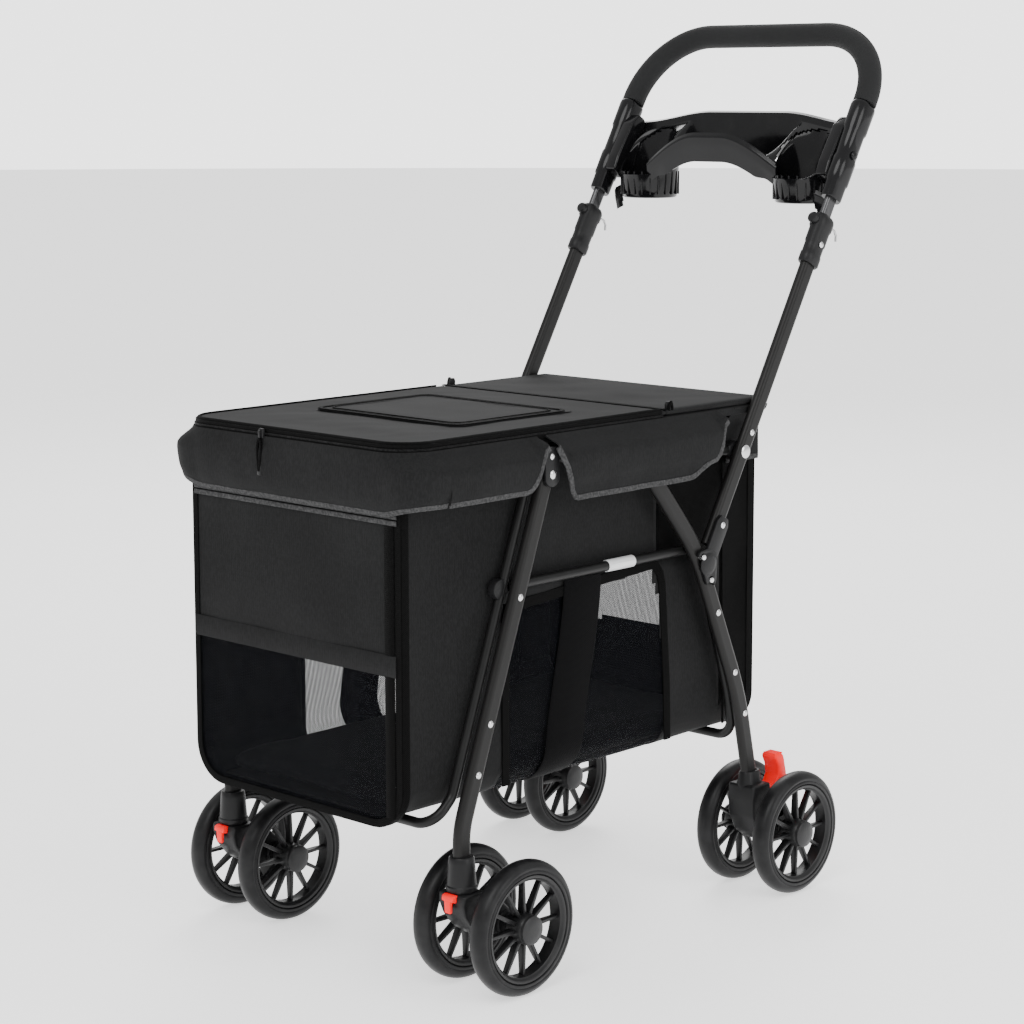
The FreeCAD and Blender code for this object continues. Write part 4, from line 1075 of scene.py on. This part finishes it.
hemmed("front_skirt", front_skirt, len(front_line) - 1, False)
flaps = []
for side, sign in SIDES:
    flaps.append(hemmed(
        f"front_flap_{side}", flap(sign, FLAP_START, NOTCH[0]), 30, False
    ))
    flaps.append(hemmed(f"rear_flap_{side}", flap(sign, NOTCH[1], 81), 56, True))
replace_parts(flaps[0][0], "side_flaps")

# Rim: a stiff ring round the carrier's mouth, covered in cloth, with a padded rear top panel sewn
# to it behind the lid's seam. The rear skirt hangs from it.
SEAM_Y, LID_LOW, LID_HIGH = -8, 600.4, 608.3


def front_of(x, half, front, corner):
    """Where a slab with two rounded front corners starts at x."""
    out = max(0.0, abs(x) - (half - corner))
    return front + corner - math.sqrt(max(0.0, corner ** 2 - out ** 2))


def cushioned(form, half, front, rear, corner, low, high, crown, columns=56, rows=56):
    """A closed pad over a plan with rounded front corners: soft edges, crowned on its top."""
    middle = (low + high) / 2

    def edge_room(x, y):
        rooms = [half - abs(x), rear - y, y - front_of(x, half, front, corner)]
        out = max(0.0, abs(x) - (half - corner))
        if y < front + corner and out > 0:
            rooms.append(corner - math.hypot(out, y - front - corner))
        return max(0.0, min(rooms))

    for level, face in ((high, 1), (low, -1)):
        def where(u, v):
            x = half * math.sin(math.pi * (u - 0.5))
            start = front_of(x, half, front, corner)
            y = start + (rear - start) * 0.5 * (1 - math.cos(math.pi * v))
            room = edge_room(x, y)
            z = middle + (level - middle) * math.sqrt(1 - (1 - min(1.0, room / crown)) ** 2)
            if face > 0:
                full = ease(room, 0, 60)
                z += (ripple((x, y, 0), 75, 1.6) + ripple((x, y, 9), 26, 0.5)) * full
            return Vector((x, y, z))
        grid(form, columns, rows, where)


form = bmesh.new()
ring = []
for x, y, nx, ny in front_line:
    ring.append((Vector((x, y, 595)), Vector((nx, ny, 0))))
for x, y, nx, ny in [(RIM_HALF, -200, 1, 0), (RIM_HALF, 0, 1, 0), (RIM_HALF, 120, 1, 0)]:
    ring.append((Vector((x, y, 595)), Vector((nx, ny, 0))))
for i in range(9):
    turn = math.radians(90 * i / 8)
    ring.append((Vector((RIM_HALF - 14 + 14 * math.cos(turn), RIM_REAR - 14 + 14 * math.sin(turn), 595)),
                 Vector((math.cos(turn), math.sin(turn), 0))))
ring += [(Vector((-spot.x, spot.y, spot.z)), Vector((-out.x, out.y, 0)))
         for spot, out in reversed(ring[len(front_line):])]


def rim_ring(u, v):
    index = round(u * len(ring)) % len(ring)
    spot, out = ring[index]
    across, lift = (
        (0, -4.2), (0.4, -2), (0.4, 2), (0, 4.2), (-1.5, 4.9), (-12, 4.9), (-13.4, 4), (-13.4, -4), (-12, -4.9),
        (-1.5, -4.9),
    )[round(v * 10) % 10]
    inward = spot + out * across
    return Vector((inward.x, inward.y, spot.z + lift))


grid(form, len(ring), 10, rim_ring)
rim_part = piece("rim_ring", form, top_cloth, "carrier", "top_cloth", 50)
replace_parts(rim_part, "carrier_rim")
form = bmesh.new()
cushioned(form, RIM_HALF, SEAM_Y + 0.4, RIM_REAR, 0.01, LID_LOW, LID_HIGH, 7, 44, 30)
rear_top = piece("rear_top_panel", form, top_cloth, "carrier", "top_cloth", 60, False)


def rear_skirt(u, v):
    turn = math.pi * u
    across = math.cos(turn)
    x = -RIM_HALF * max(-1, min(1, across * 1.6))
    y = RIM_REAR - 62 * (1 - ease(math.sin(turn), 0.0, 0.78))
    z = SKIRT_TOP + (534 - SKIRT_TOP) * v
    out = puff(v) * 0.8 + ripple((x, y, z), 50, 1.8)
    side = abs(across) > 0.625
    return Vector((x * (1 - 0.074 * ease(v, 0, 0.3)), y + (0 if side else out), z))


hemmed("rear_skirt", rear_skirt, 72, False)

# Lid: a padded top that hinges up on its rear seam. Black zipper tape runs round its edge, with
# piping, and a net window under a cloth flap lets air in.
form = bmesh.new()
cushioned(form, RIM_HALF, RIM_FRONT, SEAM_Y - 0.4, CORNER, LID_LOW, LID_HIGH, 8, 72, 64)
lid_part = piece("lid_pad", form, top_cloth, "lid", "top_cloth", 60, False)
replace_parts(lid_part, "lid")

zip_tape = webbed("zipper_tape", (0.0015, 0.0015, 0.0015), (0.004, 0.004, 0.004), 0.0018, 0.6)
coil_nylon = webbed("zipper_coil", (0.005, 0.005, 0.005), (0.02, 0.02, 0.0205), 0.0014, 0.4, 0.8)
edge_line = [(Vector((-RIM_HALF, y, 0)), Vector((-1, 0, 0))) for y in range(-24, -366, -20)]
edge_line += [(Vector((x, y, 0)), Vector((nx, ny, 0))) for x, y, nx, ny in front_line]
edge_line += [(Vector((RIM_HALF, y, 0)), Vector((1, 0, 0))) for y in range(-356, -8, 20)]
for name, height, width, body, finish, out, thick in (
    ("lid_zipper_half", 605.0, 4.6, "lid", zip_tape, -0.4, 1.2),
    ("rim_zipper_half", 598.2, 6.4, "carrier", zip_tape, 0.5, 1.5),
    ("zipper_coil", 601.9, 2.2, "carrier", coil_nylon, 0.9, 1.3),
):
    form = bmesh.new()
    path = [Vector((spot.x, spot.y, height)) + outward * out for spot, outward in edge_line]
    ribbon(form, path, [outward for spot, outward in edge_line], width, thick)
    piece(name, form, finish, body, "top_cloth", 60)
form = bmesh.new()
path = [Vector((spot.x, spot.y, 607.4)) - outward * 3 for spot, outward in edge_line]
ribbon(form, path, [outward + Vector((0, 0, 1.4)) for spot, outward in edge_line], 4.4, 2.2)
piece("lid_piping", form, dark_tape_and_painted_shadow, "lid", "top_cloth", 60)
form = bmesh.new()
path = [Vector((x, SEAM_Y, LID_HIGH - 0.2)) for x in range(-180, 181, 8)]
ribbon(form, path, [Vector((0, 0, 1))] * len(path), 9, 1.3)
piece("lid_seam_tape", form, dark_tape_and_painted_shadow, "carrier", "top_cloth", 60)

# Window flap: a cloth flap over the lid's net, taped all round and hinged along its rear edge.
WINDOW_HALF, WINDOW_FRONT, WINDOW_REAR = 118, -285, -100


def rounded(half, front, rear, corner, height, steps=8):
    """Points round a rectangle with round corners, and the way out at each."""
    corners = ((half, rear, 0), (-half, rear, 90), (-half, front, 180), (half, front, 270))
    line = []
    for x, y, start in corners:
        middle = Vector((x - math.copysign(corner, x), y + (corner if y == front else -corner), height))
        for i in range(steps + 1):
            turn = math.radians(start + 90 * i / steps)
            out = Vector((math.cos(turn), math.sin(turn), 0))
            line.append((middle + out * corner, out))
    return line


form = bmesh.new()
line = rounded(WINDOW_HALF - 8, WINDOW_FRONT + 8, WINDOW_REAR - 8, 14, LID_HIGH + 0.5)
form.faces.new([form.verts.new(spot) for spot, out in line])
piece("lid_net", form, window_net, "lid", "top_cloth")
cover = bmesh.new()


def window_cloth(u, v):
    x = WINDOW_HALF * math.sin(math.pi * (u - 0.5))
    start = front_of(x, WINDOW_HALF, WINDOW_FRONT, 16)
    y = start + (WINDOW_REAR - start) * v
    room = min(WINDOW_HALF - abs(x), y - start, WINDOW_REAR - y)
    return Vector((x, y, LID_HIGH + 1.2 + (1.1 + ripple((x, y, 4), 60, 1.0)) * ease(room, 0, 30)))


grid(cover, 40, 34, window_cloth)
bmesh.ops.recalc_face_normals(cover, faces=cover.faces)
bmesh.ops.solidify(cover, geom=cover.faces, thickness=1.0)
window_part = piece("window_cover", cover, top_cloth, "window", "top_cloth", 60, False)
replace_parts(window_part, "window_flap")
trim = bmesh.new()
for inset, width in ((2.5, 5.5), (13, 2.6)):
    height = LID_HIGH + (1.9 if inset < 5 else 2.5)
    line = rounded(WINDOW_HALF - inset, WINDOW_FRONT + inset, WINDOW_REAR - inset, 16, height)
    ribbon(trim, [spot for spot, out in line], [Vector((0, 0, 1))] * len(line), width, 1.0, True)
window_trim = piece("window_binding", trim, dark_tape_and_painted_shadow, "window", "top_cloth", 60)

# Zip pulls: cast sliders with cord loops, one in front and one at each end of the lid's seam.
form = bmesh.new()
cords = bmesh.new()
for x, y, z, nx, ny, drop in (
    (-40, RIM_FRONT - 1.6, 602, 0, -1, 38), (RIM_HALF - 7.5, 2, 611, 1, 0, -12),
    (7.5 - RIM_HALF, 2, 611, -1, 0, -12),
):
    turn = Matrix.Rotation(math.atan2(ny, nx), 4, "Z")
    base = moved_to(x, y, z) @ turn
    slab(form, [(-4.2, -5), (4.2, -5), (4.8, 2), (3, 5.5), (-3, 5.5), (-4.8, 2)], 0, 3.4, 0.8, base)
    slab(form, [(-1.6, -4), (1.6, -4), (1.2, 4), (-1.2, 4)], 3.2, 5.6, 0.7, base)
    loop_line = []
    for i in range(25):
        turn_by = math.tau * i / 24
        loop_line.append(Vector((
            4.6 + 1.5 * math.sin(turn_by * 0.5),
            4.2 * math.sin(turn_by) * (0.6 + 0.4 * math.cos(turn_by)),
            -6 - drop * 0.5 * (1 - math.cos(turn_by)) * 0.92,
        )))
    for start, end in zip(loop_line, loop_line[1:]):
        direction = (end - start).to_track_quat("X", "Z").to_matrix().to_4x4()
        lathe(cords, [(-0.3, 0), (0, 1.8), ((end - start).length, 1.8), ((end - start).length + 0.3, 0)],
              base @ Matrix.Translation(start) @ direction, 8)
    if drop > 20:
        toggle = ((-3, -8), (3, -8), (3.4, 2), (2.2, 6), (-2.2, 6), (-3.4, 2))
        slab(form, [(y, z - drop) for y, z in toggle], 3.6, 6.6, 1.0, base)
piece("zip_sliders", form, black_plastic.material, "carrier", "black_plastic")
piece("zip_pull_loops", cords, zip_tape, "carrier", "top_cloth")

# Floor board and cushion: a stiff board lies on the hoops, under a loose fleece pad.
board_finish = Finish("board_finish", 0.7)
fibre = board_finish.speckle(160, 4, (1, 0.3, 1))
board_finish.bump(fibre, 0.0003, 0.3)
board_finish.done((0.006, 0.006, 0.006), (0.014, 0.0135, 0.013), fibre, 0.6, 0.8, fibre)
form = bmesh.new()
near, far = CARRIER_FRONT + 5, CARRIER_REAR - 5
slab(form, [(near, 201.4), (far, 201.4), (far, 204.4), (near, 204.4)], -128, 128, 0.8)
board = piece("base_board", form, board_finish.material, "carrier", "board")
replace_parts(board, "floor_board")
fleece = Finish("cushion_fleece", 0.9, Sheen_Weight=0.05, Sheen_Roughness=0.6, Specular_IOR_Level=0.2)
pile = fleece.speckle(420, 4)
tuft = fleece.speckle(60, 3)
fleece.bump(pile, 0.0012, 0.7)
fleece.done((0.006, 0.0063, 0.0066), (0.015, 0.0153, 0.016), pile.rise(0.3, 0.7), 0.82, 0.95, tuft)
form = bmesh.new()
cushioned(form, 146, CARRIER_FRONT + 12, CARRIER_REAR - 12, 22, 206, 222, 12, 40, 60)
cushion = piece("floor_cushion", form, fleece.material, "carrier", "cushion", 60, False)
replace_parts(cushion, "cushion_pad")


def inflate(item, cap):
    """Swell a pad with cloth simulation, and hold each point within cap metres of its start."""
    item.modifiers.new("remesh", "REMESH").voxel_size = 0.006
    bpy.context.view_layer.update()
    shape = item.evaluated_get(bpy.context.evaluated_depsgraph_get())
    start = bpy.data.meshes.new_from_object(shape)
    copy = bpy.data.objects.new("pad_form", start)
    bpy.context.scene.collection.objects.link(copy)
    rest = [corner.co.copy() for corner in start.vertices]
    sim = copy.modifiers.new("cloth", "CLOTH")
    sim.settings.use_pressure = True
    sim.settings.uniform_pressure_force = 4
    sim.settings.effector_weights.gravity = 0
    sim.point_cache.frame_start, sim.point_cache.frame_end = 1, 20
    for number in range(1, 21):
        bpy.context.scene.frame_set(number)
    swollen = copy.evaluated_get(bpy.context.evaluated_depsgraph_get())
    final = bpy.data.meshes.new_from_object(swollen)
    for corner, before in zip(final.vertices, rest):
        move = corner.co - before
        if move.length > cap:
            corner.co = before + move * (cap / move.length)
        corner.co.z = max(corner.co.z, 0.2049)
    bpy.data.objects.remove(copy)
    bpy.context.scene.frame_set(1)
    item.modifiers.clear()
    final.materials.clear()
    final.materials.append(fleece.material)
    final.shade_smooth()
    item.data = final
    smoother = item.modifiers.new("smooth", "SUBSURF")
    smoother.levels = smoother.render_levels = 1


inflate(cushion, 0.007)
